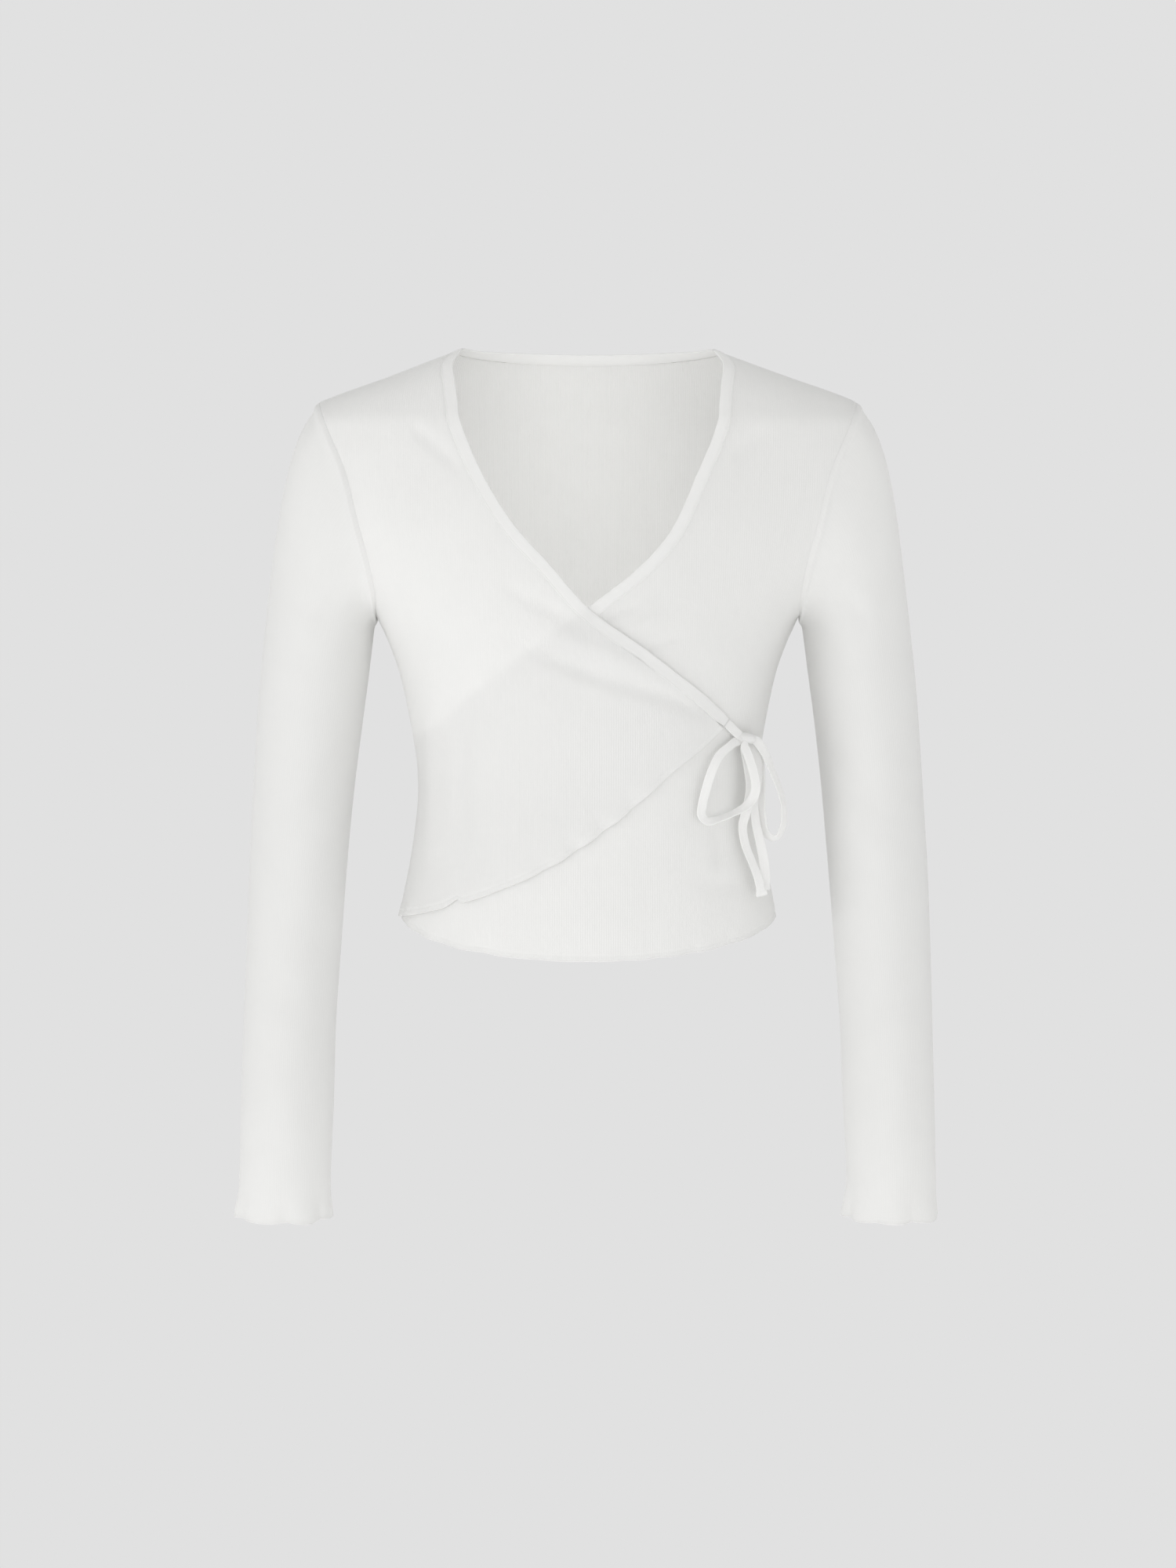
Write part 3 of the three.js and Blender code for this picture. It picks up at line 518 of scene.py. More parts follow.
# Heights are in millimetres: ridges stand out and troughs go in. They fade out at both ends.
TORSO_CREASES = table(Crease, [
    (-2.9, 0.0058, [(-0.060, 0.197), (-0.029, 0.2114), (0.003, 0.2237), (0.0275, 0.2315),
                    (0.0525, 0.2396), (0.080, 0.2515), (0.104, 0.264)]),
    (1.6, 0.0075, [(-0.054, 0.183), (-0.0097, 0.2006), (0.021, 0.213), (0.060, 0.2315)]),
    (-1.2, 0.0052, [(-0.066, 0.158), (-0.043, 0.171), (-0.022, 0.181), (-0.002, 0.192)]),
    (-1.7, 0.0036, [(0.004, 0.190), (0.020, 0.181), (0.040, 0.172)]),
    (-1.6, 0.0036, [(0.030, 0.212), (0.048, 0.2035), (0.070, 0.194)]),
    (1.0, 0.005, [(0.016, 0.198), (0.034, 0.190), (0.056, 0.182)]),
    (-1.3, 0.005, [(-0.130, 0.046), (-0.117, 0.058), (-0.104, 0.0695), (-0.091, 0.081), (-0.080, 0.090)]),
    (-1.2, 0.006, [(0.128, 0.052), (0.112, 0.066), (0.094, 0.080)]),
    (1.4, 0.010, [(-0.106, 0.220), (-0.1115, 0.280), (-0.111, 0.330), (-0.110, 0.398)]),
    (-1.5, 0.009, [(-0.086, 0.222), (-0.0884, 0.285), (-0.0888, 0.335), (-0.086, 0.390)]),
    (-1.6, 0.0055, [(0.070, 0.369), (0.092, 0.375), (0.116, 0.3745)]),
    (1.2, 0.0065, [(0.070, 0.360), (0.092, 0.364), (0.114, 0.362)]),
    (-1.3, 0.006, [(0.0915, 0.322), (0.094, 0.350), (0.093, 0.378)]),
    (-1.2, 0.007, [(-0.146, 0.184), (-0.118, 0.196), (-0.088, 0.204)]),
    (-1.2, 0.007, [(0.144, 0.186), (0.120, 0.199), (0.094, 0.209)]),
    (-1.6, 0.008, [(-0.142, 0.194), (-0.105, 0.212), (-0.060, 0.226), (-0.006, 0.233)], BACK),
    (-1.5, 0.008, [(0.142, 0.190), (0.104, 0.206), (0.062, 0.217), (0.016, 0.223)], BACK),
    (1.2, 0.010, [(-0.114, 0.236), (-0.060, 0.252), (-0.005, 0.256), (0.056, 0.250)], BACK),
    (-1.4, 0.009, [(0.116, 0.267), (0.066, 0.280), (0.010, 0.284), (-0.046, 0.280)], BACK),
    (-1.1, 0.008, [(-0.132, 0.066), (-0.104, 0.090), (-0.082, 0.122)], BACK),
    (-1.1, 0.008, [(0.134, 0.062), (0.106, 0.088), (0.086, 0.116)], BACK),
    (1.2, 0.011, [(-0.074, 0.290), (-0.080, 0.345), (-0.084, 0.410)], BACK),
    (1.2, 0.011, [(0.068, 0.295), (0.076, 0.350), (0.082, 0.408)], BACK),
])


def relief_of(creases, p, line_of):
    """How far the creases move the cloth out at each of some points."""
    height = np.zeros(p.shape[:-1])
    shares = np.linspace(0, 1, CREASE_POINTS)
    for crease in creases:
        apart = np.full(height.shape, np.inf)
        share = np.zeros(height.shape)
        for at, place in zip(shares, resampled(smooth_line(line_of(crease)), shares)):
            distance = np.linalg.norm(p - place, axis=-1)
            nearer = distance < apart
            apart = np.where(nearer, distance, apart)
            share = np.where(nearer, at, share)
        fade = smoothstep(share, 0, CREASE_FADE) * smoothstep(1 - share, 0, CREASE_FADE)
        height += crease.height * MM * fade * bell(apart, crease.width)
    return height


def torso_relief(p):
    """The torso's creases, and a slow unevenness in waves whose lengths are in metres."""
    def line_of(crease):
        return [torso_point(across, drop, crease.facing) for across, drop in crease.points]

    x, y, z = p[..., 0], p[..., 1], p[..., 2]
    slow = np.sin(x / 0.021 + 1.3 * np.sin(z / 0.034)) * np.sin(z / 0.029 + y / 0.025 + 0.7)
    slower = np.sin(x / 0.043 - z / 0.052 + 2.1)
    return relief_of(TORSO_CREASES, p, line_of) + UNEVENNESS * slow + SLOW_UNEVENNESS * slower


# ---- Meshes ----

def triangles_of(faces):
    """The triangles of a list of faces with three or four corners."""
    for face in faces:
        yield face[0], face[1], face[2]
        if len(face) == 4:
            yield face[0], face[2], face[3]


def faces_inwards(vertices, faces):
    a, b, c = (vertices[list(corner)] for corner in zip(*triangles_of(faces)))
    return (a * np.cross(b, c)).sum() < 0


def new_piece(name, vertices, faces, places, material, slot):
    """A smooth-shaded piece. places holds a place in the flat cloth for each face corner."""
    if faces_inwards(vertices, faces):
        faces = [face[::-1] for face in faces]
        places = [corners[::-1] for corners in places]
    mesh = bpy.data.meshes.new(name)
    mesh.from_pydata(vertices.tolist(), [], faces)
    mesh.uv_layers.new(name="Cloth").data.foreach_set("uv", np.concatenate(places).ravel())
    mesh.polygons.foreach_set("use_smooth", np.ones(len(faces), bool))
    mesh.materials.append(material)
    piece = bpy.data.objects.new(name, mesh)
    bpy.context.scene.collection.objects.link(piece)
    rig.slot(piece, slot)
    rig.ride(piece, "root")
    return piece


def grid_quads(index):
    corners = index[:-1, :-1], index[:-1, 1:], index[1:, 1:], index[1:, :-1]
    return np.stack([corner.ravel() for corner in corners], -1)


def wall_quads(index, offset, around):
    """The quads of a closed wall between two grids whose points are numbered alike."""
    rims = [index[0], index[-1, ::-1]]
    if not around:
        rims += [index[::-1, 0], index[:, -1]]
    strips = [np.stack([rim[1:], rim[:-1], rim[:-1] + offset, rim[1:] + offset], -1) for rim in rims]
    return np.concatenate([grid_quads(index), grid_quads(index + offset)[:, ::-1], *strips])


def numbered(rows, columns, around=False):
    index = np.arange(rows * columns).reshape(rows, columns)
    return np.concatenate([index, index[:, :1]], 1) if around else index


def wall_piece(name, outer, inner, places, material, around=False):
    """A closed wall of cloth between two grids, whose places in the flat cloth are given."""
    faces = wall_quads(numbered(*outer.shape[:2], around), outer[..., 0].size, around)
    flat_faces = wall_quads(numbered(*places.shape[:2]), places[..., 0].size, around)
    flat = np.concatenate([places.reshape(-1, 2)] * 2)
    vertices = np.concatenate([outer.reshape(-1, 3), inner.reshape(-1, 3)])
    return new_piece(name, vertices, faces.tolist(), flat[flat_faces], material, "jersey")


def tube_piece(name, rings, material, closed=False):
    """A closed mesh of rings of points. The cloth's length runs along it."""
    count, sides = rings.shape[:2]
    index, flat_index = numbered(count, sides, True), numbered(count, sides + 1)
    if closed:
        index = np.concatenate([index, index[:1]])
        flat_index = numbered(count + 1, sides + 1)
    girth = lengths_along(np.concatenate([rings[0], rings[0, :1]]))
    middles = rings.mean(axis=1)
    line = np.concatenate([middles, middles[:1]]) if closed else middles
    flat = np.stack(np.broadcast_arrays(girth[None, :], lengths_along(line)[:, None]), -1).reshape(-1, 2)
    faces = grid_quads(index).tolist()
    places = list(flat[grid_quads(flat_index)])
    if not closed:
        for ring, way in ((index[0], 1), (index[-1], -1)):
            ends = [[ring[0], ring[k], ring[k + 1]][::way] for k in range(1, sides - 1)]
            faces += [[int(corner) for corner in face] for face in ends]
            places += [np.zeros((3, 2))] * len(ends)
    return new_piece(name, rings.reshape(-1, 3), faces, places, material, "folded_strip")


def swept_piece(name, line, wide, out, section, material, closed=False):
    """A section swept along a line. wide and out are the section's two directions."""
    across, up = section[..., :1], section[..., 1:]
    return tube_piece(name, line[:, None] + across * wide[:, None] + up * out[:, None], material, closed)


def along_line(line):
    return unit(np.gradient(line, axis=0))


def sections(count, half_width, half_height, sides, squareness=2.0):
    """Some alike rounded sections. A squareness of 2 is an ellipse, and more is flatter."""
    turn = round_turns(sides)
    power = 2 / squareness
    x = np.sign(np.cos(turn)) * np.abs(np.cos(turn)) ** power
    y = np.sign(np.sin(turn)) * np.abs(np.sin(turn)) ** power
    return np.repeat(np.stack([half_width * x, half_height * y], -1)[None], count, 0)


# ---- Camera, light and stage ----

CAMERA_DISTANCE = 3.0
CAMERA_TILT = math.radians(6)
LOOKED_AT = Vector((0, 0, -0.291))
LONG_SIDE_OF_SENSOR = 24
LENS = 64.29
SHOULDER_HEIGHT = 1.38
PALE_GREY = 0.753
LIGHT_ALL_ROUND = 0.725
LIGHT_FROM_BELOW = 0.93
FLOOR_RADIUS = 40

# Large soft lights in front, and a small one that fills the inside through the neck.
Light = namedtuple("Light", "name place size power looked_at", defaults=[LOOKED_AT])
LIGHTS = [
    Light("front_light", (-0.4, -3.0, -0.8), 2.4, 14),
    Light("side_light_right", (-2.7, -1.5, -0.8), 1.4, 15),
    Light("side_light_left", (1.5, -2.8, -0.4), 1.6, 8.4),
    Light("light_inside", (0, -0.045, -0.14), 0.16, 0.078, Vector((0, 0.09, -0.135))),
]


def aimed(data, place, back):
    """A camera or a light at a place. back is the direction from what it looks at."""
    aimed_object = bpy.data.objects.new(data.name, data)
    aimed_object.location = place
    aimed_object.rotation_euler = back.to_track_quat("Z", "Y").to_euler()
    bpy.context.scene.collection.objects.link(aimed_object)
    return aimed_object


def make_camera():
    camera = bpy.data.cameras.new("camera")
    camera.sensor_width = LONG_SIDE_OF_SENSOR
    camera.lens = LENS
    back = Vector((0, -math.cos(CAMERA_TILT), math.sin(CAMERA_TILT)))
    bpy.context.scene.camera = aimed(camera, LOOKED_AT + CAMERA_DISTANCE * back, back)


def make_light(row):
    light = bpy.data.lights.new(row.name, "AREA")
    light.shape = "DISK"
    light.size = row.size
    light.energy = row.power
    aimed(light, row.place, Vector(row.place) - row.looked_at).visible_camera = False


class Graph:
    """The shader nodes of a material or a world. Inputs are fed by values or by other nodes."""

    def __init__(self, owner):
        owner.use_nodes = True
        self.nodes = owner.node_tree.nodes
        self.links = owner.node_tree.links

    def feed(self, node, inputs):
        for name, value in inputs.items():
            if isinstance(value, bpy.types.NodeSocket):
                self.links.new(value, node.inputs[name])
            else:
                node.inputs[name].default_value = value
        return node

    def add(self, kind, **inputs):
        return self.feed(self.nodes.new("ShaderNode" + kind), inputs)

    def maths(self, operation, *values):
        node = self.add("Math")
        node.operation = operation
        return self.feed(node, dict(enumerate(values))).outputs[0]

    def times(self, a, b):
        return self.maths("MULTIPLY", a, b)

    def plus(self, a, b):
        return self.maths("ADD", a, b)

    def mix(self, share, a, b):
        """The colour at a share of the way from one colour to another."""
        node = self.add("Mix")
        node.data_type = "RGBA"
        return self.feed(node, {"Factor": share, "A": (*a, 1), "B": (*b, 1)}).outputs["Result"]

    def noise(self, vector, scale, detail=2):
        return self.add("TexNoise", Scale=scale, Detail=detail, Vector=vector).outputs["Fac"]


def even_glow(owner, kind, output, light):
    """Gives a world or the floor one even look, the pale grey that is seen, and its own light."""
    graph = Graph(owner)
    seen = graph.add("LightPath").outputs["Is Camera Ray"]
    glow = graph.add(kind, Color=graph.mix(seen, [light] * 3, [PALE_GREY] * 3))
    graph.feed(graph.nodes[output], {"Surface": glow.outputs[0]})


def make_stage():
    """A plain pale floor as far down as under a wearer's feet, and even light all round."""
    world = bpy.data.worlds.new("studio")
    even_glow(world, "Background", "World Output", LIGHT_ALL_ROUND)
    bpy.context.scene.world = world
    bpy.ops.mesh.primitive_circle_add(vertices=64, radius=FLOOR_RADIUS, fill_type="NGON",
                                      location=(0, 0, -SHOULDER_HEIGHT))
    floor = bpy.context.object
    floor.name = "floor"
    material = bpy.data.materials.new("pale_floor")
    even_glow(material, "Emission", "Material Output", LIGHT_FROM_BELOW)
    floor.data.materials.append(material)
    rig.stage(floor)


# ---- Materials ----

Knit = namedtuple("Knit", "name colour roughness relief wale_share shows_through")

# WHITE is the jersey's own colour. The others are lighter and darker copies of it, which are painted light.
WHITE = (0.938, 0.937, 0.926)
WHITE_PAINTED_LIGHTER = (0.952, 0.951, 0.940)
WHITE_PAINTED_DARKER = (0.930, 0.929, 0.918)
STRIP_WHITE_PAINTED_LIGHTER = (0.972, 0.971, 0.962)

# The outer front looks whiter than the under one, because it has more cloth behind it. This light is painted into
# their colours, as a lighter and a darker copy of the jersey's white.
OUTER_JERSEY = Knit("outer_jersey_painted_lighter", WHITE_PAINTED_LIGHTER, 0.95, 0.34, 0.9, 0.3)
UNDER_JERSEY = Knit("under_jersey_painted_darker", WHITE_PAINTED_DARKER, 0.95, 0.34, 0.9, 0.3)
BACK_JERSEY = Knit("back_jersey", WHITE, 0.95, 0.5, 1.0, 0.3)
SLEEVE_JERSEY = Knit("sleeve_jersey", WHITE, 0.95, 0.22, 0.6, 0.3)
# The folded strips' whiter colour is painted light too: a lighter copy of the jersey's white.
FOLDED_JERSEY = Knit("folded_jersey_painted_lighter", STRIP_WHITE_PAINTED_LIGHTER, 0.9, 0.25, 0.25, 0.35)

WALE_PITCH = 1.65 * MM
COURSE_PITCH = 1.2 * MM
WALE_WAVER = 1.6
COURSE_BEND = 2.4
COURSE_HEIGHT = 0.2
FIBRE_HEIGHT = 0.6
BUMP_DEPTH = 0.3 * MM
STREAK_STRETCH = 5
# Painted shade: the colour in the grooves between the wales is this share of the full colour, and the wales' height,
# weighed by the next number, lifts it back. The mottle's weight after them is the knit's own uneven tone.
GROOVE_PAINTED_SHADE = 0.96
WALE_SHADE_WEIGHT = 0.5
MOTTLE_TONE = 0.75

# How many noise cells there are in a metre.
STREAKS_PER_METRE = 520
WAVERS_PER_METRE = 160
FIBRES_PER_METRE = 1900
MOTTLES_PER_METRE = 38


def knit_heights(graph, solid, wale_share):
    """The heights of the upright wales, which come and go and waver, and of the whole knit."""
    times, plus = graph.times, graph.plus
    flat = graph.add("UVMap")
    flat.uv_map = "Cloth"
    split = graph.add("SeparateXYZ", Vector=flat.outputs["UV"])
    across, up = split.outputs["X"], split.outputs["Y"]
    long_way = graph.add("CombineXYZ", X=across, Y=times(up, 1 / STREAK_STRETCH))
    streaks = graph.noise(long_way.outputs[0], STREAKS_PER_METRE)
    waver = graph.maths("SUBTRACT", graph.noise(solid, WAVERS_PER_METRE), 0.5)
    wale_turn = plus(times(across, 2 * math.pi / WALE_PITCH), times(waver, WALE_WAVER))
    wales = graph.maths("ABSOLUTE", graph.maths("SINE", times(wale_turn, 0.5)))
    wales = times(wales, times(streaks, 2 * wale_share))
    course_turn = plus(times(up, 2 * math.pi / COURSE_PITCH), times(wales, COURSE_BEND))
    courses = times(graph.maths("SINE", course_turn), times(streaks, COURSE_HEIGHT * wale_share))
    fibres = times(graph.noise(solid, FIBRES_PER_METRE), FIBRE_HEIGHT)
    return wales, plus(plus(wales, courses), fibres)


def knit_material(knit):
    """Fine plain knit, which lets some light through, with faint wales, slightly uneven tone and painted shade in the
    grooves between the wales.
    """
    material = bpy.data.materials.new(knit.name)
    graph = Graph(material)
    solid = graph.add("TexCoord").outputs["Object"]
    wales, height = knit_heights(graph, solid, knit.wale_share)
    bump = graph.add("Bump", Strength=knit.relief, Distance=BUMP_DEPTH, Height=height)
    mottle = graph.times(graph.noise(solid, MOTTLES_PER_METRE, 3), MOTTLE_TONE)
    # Base colour: painted shade in the grooves between the wales, and the knit's own uneven mottle.
    tone = graph.mix(graph.plus(graph.times(wales, WALE_SHADE_WEIGHT), mottle),
                     [GROOVE_PAINTED_SHADE * part for part in knit.colour], knit.colour)
    shader = graph.feed(graph.nodes["Principled BSDF"], {
        "Roughness": knit.roughness, "Specular IOR Level": 0.2, "Sheen Weight": 0.12,
        "Sheen Roughness": 0.6, "Normal": bump.outputs["Normal"], "Base Color": tone,
    })
    through = graph.add("BsdfTranslucent", Color=(*knit.colour, 1))
    both = graph.feed(graph.add("MixShader"), {
        0: knit.shows_through, 1: shader.outputs["BSDF"], 2: through.outputs["BSDF"],
    })
    graph.feed(graph.nodes["Material Output"], {"Surface": both.outputs["Shader"]})
    return material


# ---- Ties ----

TIE_WIDTH = 6.8 * MM
TIE_THICKNESS = 1.3 * MM
TIE_SQUARENESS = 4.0
TIE_FOLD_PLACE = 1.9 * MM
TIE_FOLD_REACH = 0.45 * MM
TIE_FOLD_DEPTH = 0.3 * MM
TIE_CRIMP = 0.14 * MM
TIE_STEP = 1.1 * MM
TIE_SIDES = 24
TURN_LENGTH = 8 * MM  # over which a tie turns from the torso's facing to the bow's
TIP_REACH = 4.5 * MM
TIP_SPREAD = 0.14
TIP_UNEVENNESS = 0.2
TIP_TURN_IN = 3 * MM
TIP_SWELLING = 0.9
PINCH_SHARE = 0.5
PINCH_REACH = 5.5 * MM
KNOT_MIDDLE = np.array([0.1107, -0.0573, NECK_HEIGHT - 0.2716])
KNOT_HALF = (7.6 * MM, 4.0 * MM, 3.8 * MM)
KNOT_RINGS = 61
KNOT_SIDES = 48
KNOT_FULLNESS = 3.2
KNOT_END = 0.02
KNOT_OVERLAP = 0.12
KNOT_GATHERS = 0.05
KNOT_SLANT = 0.18
BOW_FACING = unit(np.array([0.35, -0.94, 0]))

Stop = namedtuple("Stop", "across drop ahead turn", defaults=[0])

# The ties' middle lines, as in the CAD model. ahead is the distance in front of the
# shoulder line, and turn is how far the flat strip is turned about its own line, in degrees.
FRONT_ROOT = table(Stop, [(0.0965, 0.2597, 0.0686), (0.101, 0.2646, 0.065), (0.1059, 0.2692, 0.061)])
FRONT_LOOP = table(Stop, [
    (0.1034, 0.2738, 0.061), (0.0983, 0.2767, 0.0685, 10), (0.0913, 0.2825, 0.076),
    (0.086, 0.293, 0.0795, -8), (0.0822, 0.3052, 0.079, -4), (0.0797, 0.3158, 0.078),
    (0.0792, 0.3237, 0.0775, 5), (0.0832, 0.3279, 0.0755, 30), (0.0911, 0.327, 0.071, 62),
    (0.1007, 0.324, 0.066, 66), (0.110, 0.3194, 0.063, 50), (0.1156, 0.3132, 0.061, 22),
    (0.1174, 0.3054, 0.061, 4), (0.1156, 0.2949, 0.061), (0.1124, 0.2844, 0.061),
    (0.1096, 0.277, 0.0606),
])
FRONT_TAIL = table(Stop, [
    (0.1096, 0.2768, 0.0575), (0.112, 0.290, 0.0555, -10), (0.114, 0.307, 0.0545, -20),
    (0.1115, 0.322, 0.054, -15), (0.1086, 0.334, 0.0545), (0.1105, 0.347, 0.0545, 12),
    (0.1155, 0.360, 0.0535, 20), (0.120, 0.372, 0.053, 8), (0.1225, 0.384, 0.052, -10),
])
SIDE_ROOT = table(Stop, [
    (0.1244, 0.2886, 0.001), (0.1240, 0.2866, 0.0125), (0.1222, 0.2841, 0.0229),
    (0.1192, 0.2797, 0.0348), (0.1155, 0.2757, 0.0439), (0.1109, 0.2725, 0.0524),
])
SIDE_LOOP = table(Stop, [
    (0.1183, 0.2742, 0.0554), (0.1245, 0.284, 0.0505, 20), (0.1295, 0.296, 0.048, 34),
    (0.135, 0.310, 0.046, 38), (0.1377, 0.323, 0.045, 36), (0.1373, 0.335, 0.045, 30),
    (0.1325, 0.3435, 0.045, 42), (0.126, 0.341, 0.045, 58), (0.1225, 0.328, 0.045, 60),
    (0.1218, 0.310, 0.0455, 55), (0.121, 0.294, 0.046, 40), (0.1175, 0.277, 0.050, 10),
])
SIDE_TAIL = table(Stop, [
    (0.1138, 0.2756, 0.0536), (0.119, 0.288, 0.0505, 12), (0.1195, 0.304, 0.050, 25),
    (0.117, 0.318, 0.0495, 20), (0.118, 0.332, 0.0495, 8), (0.1213, 0.347, 0.049, -5),
    (0.1238, 0.360, 0.048, -18), (0.125, 0.371, 0.047, -12), (0.1245, 0.381, 0.046, 8),
])

# Each tie turns round inside the knot, between two of its stretches.
FRONT_TURNS = [
    table(Stop, [(0.1090, 0.2708, 0.0590), (0.1096, 0.2724, 0.0580), (0.1080, 0.2736, 0.0590)]),
    table(Stop, [(0.1106, 0.2736, 0.0600), (0.1110, 0.2726, 0.0590), (0.1106, 0.2740, 0.0578)]),
]
SIDE_TURNS = [
    table(Stop, [(0.1098, 0.2714, 0.0562), (0.1108, 0.2706, 0.0580), (0.1136, 0.2716, 0.0576)]),
    table(Stop, [(0.1150, 0.2738, 0.0530), (0.1130, 0.2724, 0.0548), (0.1126, 0.2736, 0.0545)]),
]


def tie_line(stops):
    """A tie's middle line in even short steps, and how far the strip is turned at each."""
    points = np.array([(stop.across, -stop.ahead, NECK_HEIGHT - stop.drop) for stop in stops])
    turns = np.radians([stop.turn for stop in stops])
    fine = smooth_line(points)
    shares = np.linspace(0, 1, 1 + round(lengths_along(fine)[-1] / TIE_STEP))
    line = resampled(fine, shares)
    at_stops = shares_along(fine)[np.minimum(np.arange(len(stops)) * CURVE_STEPS, len(fine) - 1)]
    return line, np.interp(shares, at_stops, turns)


def tie_directions(line, turns, root_length):
    """The strip's directions across and out. It faces as the torso does, then as the bow does."""
    share = smoothstep(lengths_along(line), root_length, root_length + TURN_LENGTH)[:, None]
    facing = unit((1 - share) * torso_normal(line) + share * BOW_FACING)
    along = along_line(line)
    wide = steady(unit(np.cross(along, facing)))
    out = np.cross(wide, along)
    cos, sin = np.cos(turns)[:, None], np.sin(turns)[:, None]
    return cos * wide + sin * out, cos * out - sin * wide


def tie_sections(line):
    """The strip's sections: a fold line, soft crimps, a rough end, and a pinch at the knot."""
    lengths = lengths_along(line)
    section = sections(len(line), TIE_WIDTH / 2, TIE_THICKNESS / 2, TIE_SIDES, TIE_SQUARENESS)
    across, up = section[..., 0], section[..., 1]
    up -= TIE_FOLD_DEPTH * bell(across - TIE_FOLD_PLACE, TIE_FOLD_REACH) * np.sign(up)
    crimp = np.sin(lengths / (2.9 * MM)) * np.sin(lengths / (7.3 * MM) + 1)
    up += TIE_CRIMP * crimp[:, None] * (across / TIE_WIDTH * 2)
    from_tip = lengths[-1] - lengths
    spread = bell(from_tip, TIP_REACH) * (TIP_SPREAD + TIP_UNEVENNESS * np.sin(from_tip / (1.3 * MM)))
    across *= (1 + spread)[:, None]
    up *= (1 + TIP_SWELLING * bell(from_tip - TIP_TURN_IN, 2 * MM))[:, None]
    from_knot = np.linalg.norm(line - KNOT_MIDDLE, axis=1)
    section *= (1 - PINCH_SHARE * np.exp(-(from_knot / PINCH_REACH) ** 4))[:, None, None]
    return section


def make_tie(name, root, loop, tail, turns_inside, material):
    """One whole tie, from where it is sewn on, through the knot, to its free end."""
    line, turns = tie_line(root + turns_inside[0] + loop + turns_inside[1] + tail)
    wide, out = tie_directions(line, turns, lengths_along(tie_line(root)[0])[-1])
    return swept_piece(name, line, wide, out, tie_sections(line), material), line


def steady(directions):
    """The same directions, with none of them the opposite way from the one before."""
    flips = np.sign((directions[1:] * directions[:-1]).sum(axis=1))
    return directions * np.concatenate([[1], np.cumprod(np.where(flips < 0, -1, 1))])[:, None]


def make_knot(material):
    """The small band wrapped level round both ties, with soft ends and slanting creases."""
    along, turn = np.meshgrid(np.linspace(-1, 1, KNOT_RINGS), round_turns(KNOT_SIDES), indexing="ij")
    girth = np.maximum((1 - np.abs(along) ** KNOT_FULLNESS) ** 0.5, KNOT_END)
    overlap = bell(np.sin(turn / 2 + 0.9 * along - 0.2), 0.13)
    gathers = bell(np.sin(2.2 * along + turn - 0.6), 0.28)
    girth *= 1 - KNOT_OVERLAP * overlap - KNOT_GATHERS * gathers
    level = np.array([-BOW_FACING[1], BOW_FACING[0], 0.0])
    wide = unit(level - KNOT_SLANT * UPWARDS)
    upward = np.cross(wide, BOW_FACING)
    half_width, half_depth, half_height = KNOT_HALF
    rings = (KNOT_MIDDLE + (along * half_width)[..., None] * wide
             + (girth * np.sin(turn) * half_depth)[..., None] * BOW_FACING
             + (girth * np.cos(turn) * half_height)[..., None] * upward)
    return tube_piece("knot", rings, material)


def make_ties(material):
    knot = make_knot(material)
    front, front_line = make_tie("tie_front", FRONT_ROOT, FRONT_LOOP, FRONT_TAIL, FRONT_TURNS, material)
    side, side_line = make_tie("tie_side", SIDE_ROOT, SIDE_LOOP, SIDE_TAIL, SIDE_TURNS, material)
    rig.replaces(front, "tie_front_root", "tie_front_loop", "tie_front_tail")
    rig.replaces(side, "tie_side_root", "tie_side_loop", "tie_side_tail")
    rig.replaces(knot, "tie_knot")
    for tie, line, pieces in ((front, front_line, [knot]), (side, side_line, [])):
        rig.cord(tie, exit=line[0], length=float(lengths_along(line)[-1]), diameter=0.007, far_end="bare",
                stiffness="limp", lay="hanging", path=line, with_pieces=pieces)


# ---- Panels ----

LEAST_SINE = 0.15
NEAR_FIRST, NEAR_LAST = 4, -5  # the grid lines that lie a little inside two opposite edges
SEAM_DEPTH = 0.36 * MM
SEAM_REACH = 1.2 * MM
GROOVE_FADES_FROM = 0.075
GROOVE_FADES_TO = 0.105
GROOVE_FADES_BY = 0.85
SHARED_REACH = 6 * MM
CALM_REACH = 9 * MM
HEM_REACH = 8 * MM
ROLL_RADIUS = 0.62 * MM
ROLL_SIDES = 10
HEM_WAVE = 0.9 * MM
WRAP_HEM_WAVE = 1.3 * MM
HEM_RISE = 0.6 * MM
TROUGH_ROUNDING = 0.012
STITCH_RISE = 3.2 * MM
STITCH_REACH = 0.7 * MM
HEM_STITCH_DEPTH = 0.3 * MM
NOTCH_ACROSS = -0.0925
NOTCH_LIFT = 3.6 * MM
NOTCH_DEPTH = 1.1 * MM
NOTCH_SLOPE = 5.5 * MM
NOTCH_STEP = 2.2 * MM
NOTCH_REACH = 6 * MM

# Each piece's cut: the width and length of the rectangle it comes from, and its own area.
PATTERNS = {
    "front_right": (0.29, 0.41, 0.066),
    "front_left": (0.33, 0.43, 0.093),
    "back": (0.42, 0.43, 0.148),
    "sleeve_right": (0.29, 0.59, 0.128),
    "sleeve_left": (0.29, 0.59, 0.128),
}


def cumulative(grid, axis, from_end=False):
    """Each grid point's distance along its grid line from the first or the last point."""
    steps = np.linalg.norm(np.diff(grid, axis=axis), axis=-1)
    start = np.zeros_like(np.take(steps, [0], axis=axis))
    lengths = np.concatenate([start, np.cumsum(steps, axis=axis)], axis)
    return np.take(lengths, [-1], axis=axis) - lengths if from_end else lengths


def squareness(edge, inside):
    """The sine of the angle between an edge and the grid lines that leave it."""
    sine = np.linalg.norm(np.cross(along_line(edge), unit(inside - edge)), axis=1)
    return np.maximum(sine, LEAST_SINE)


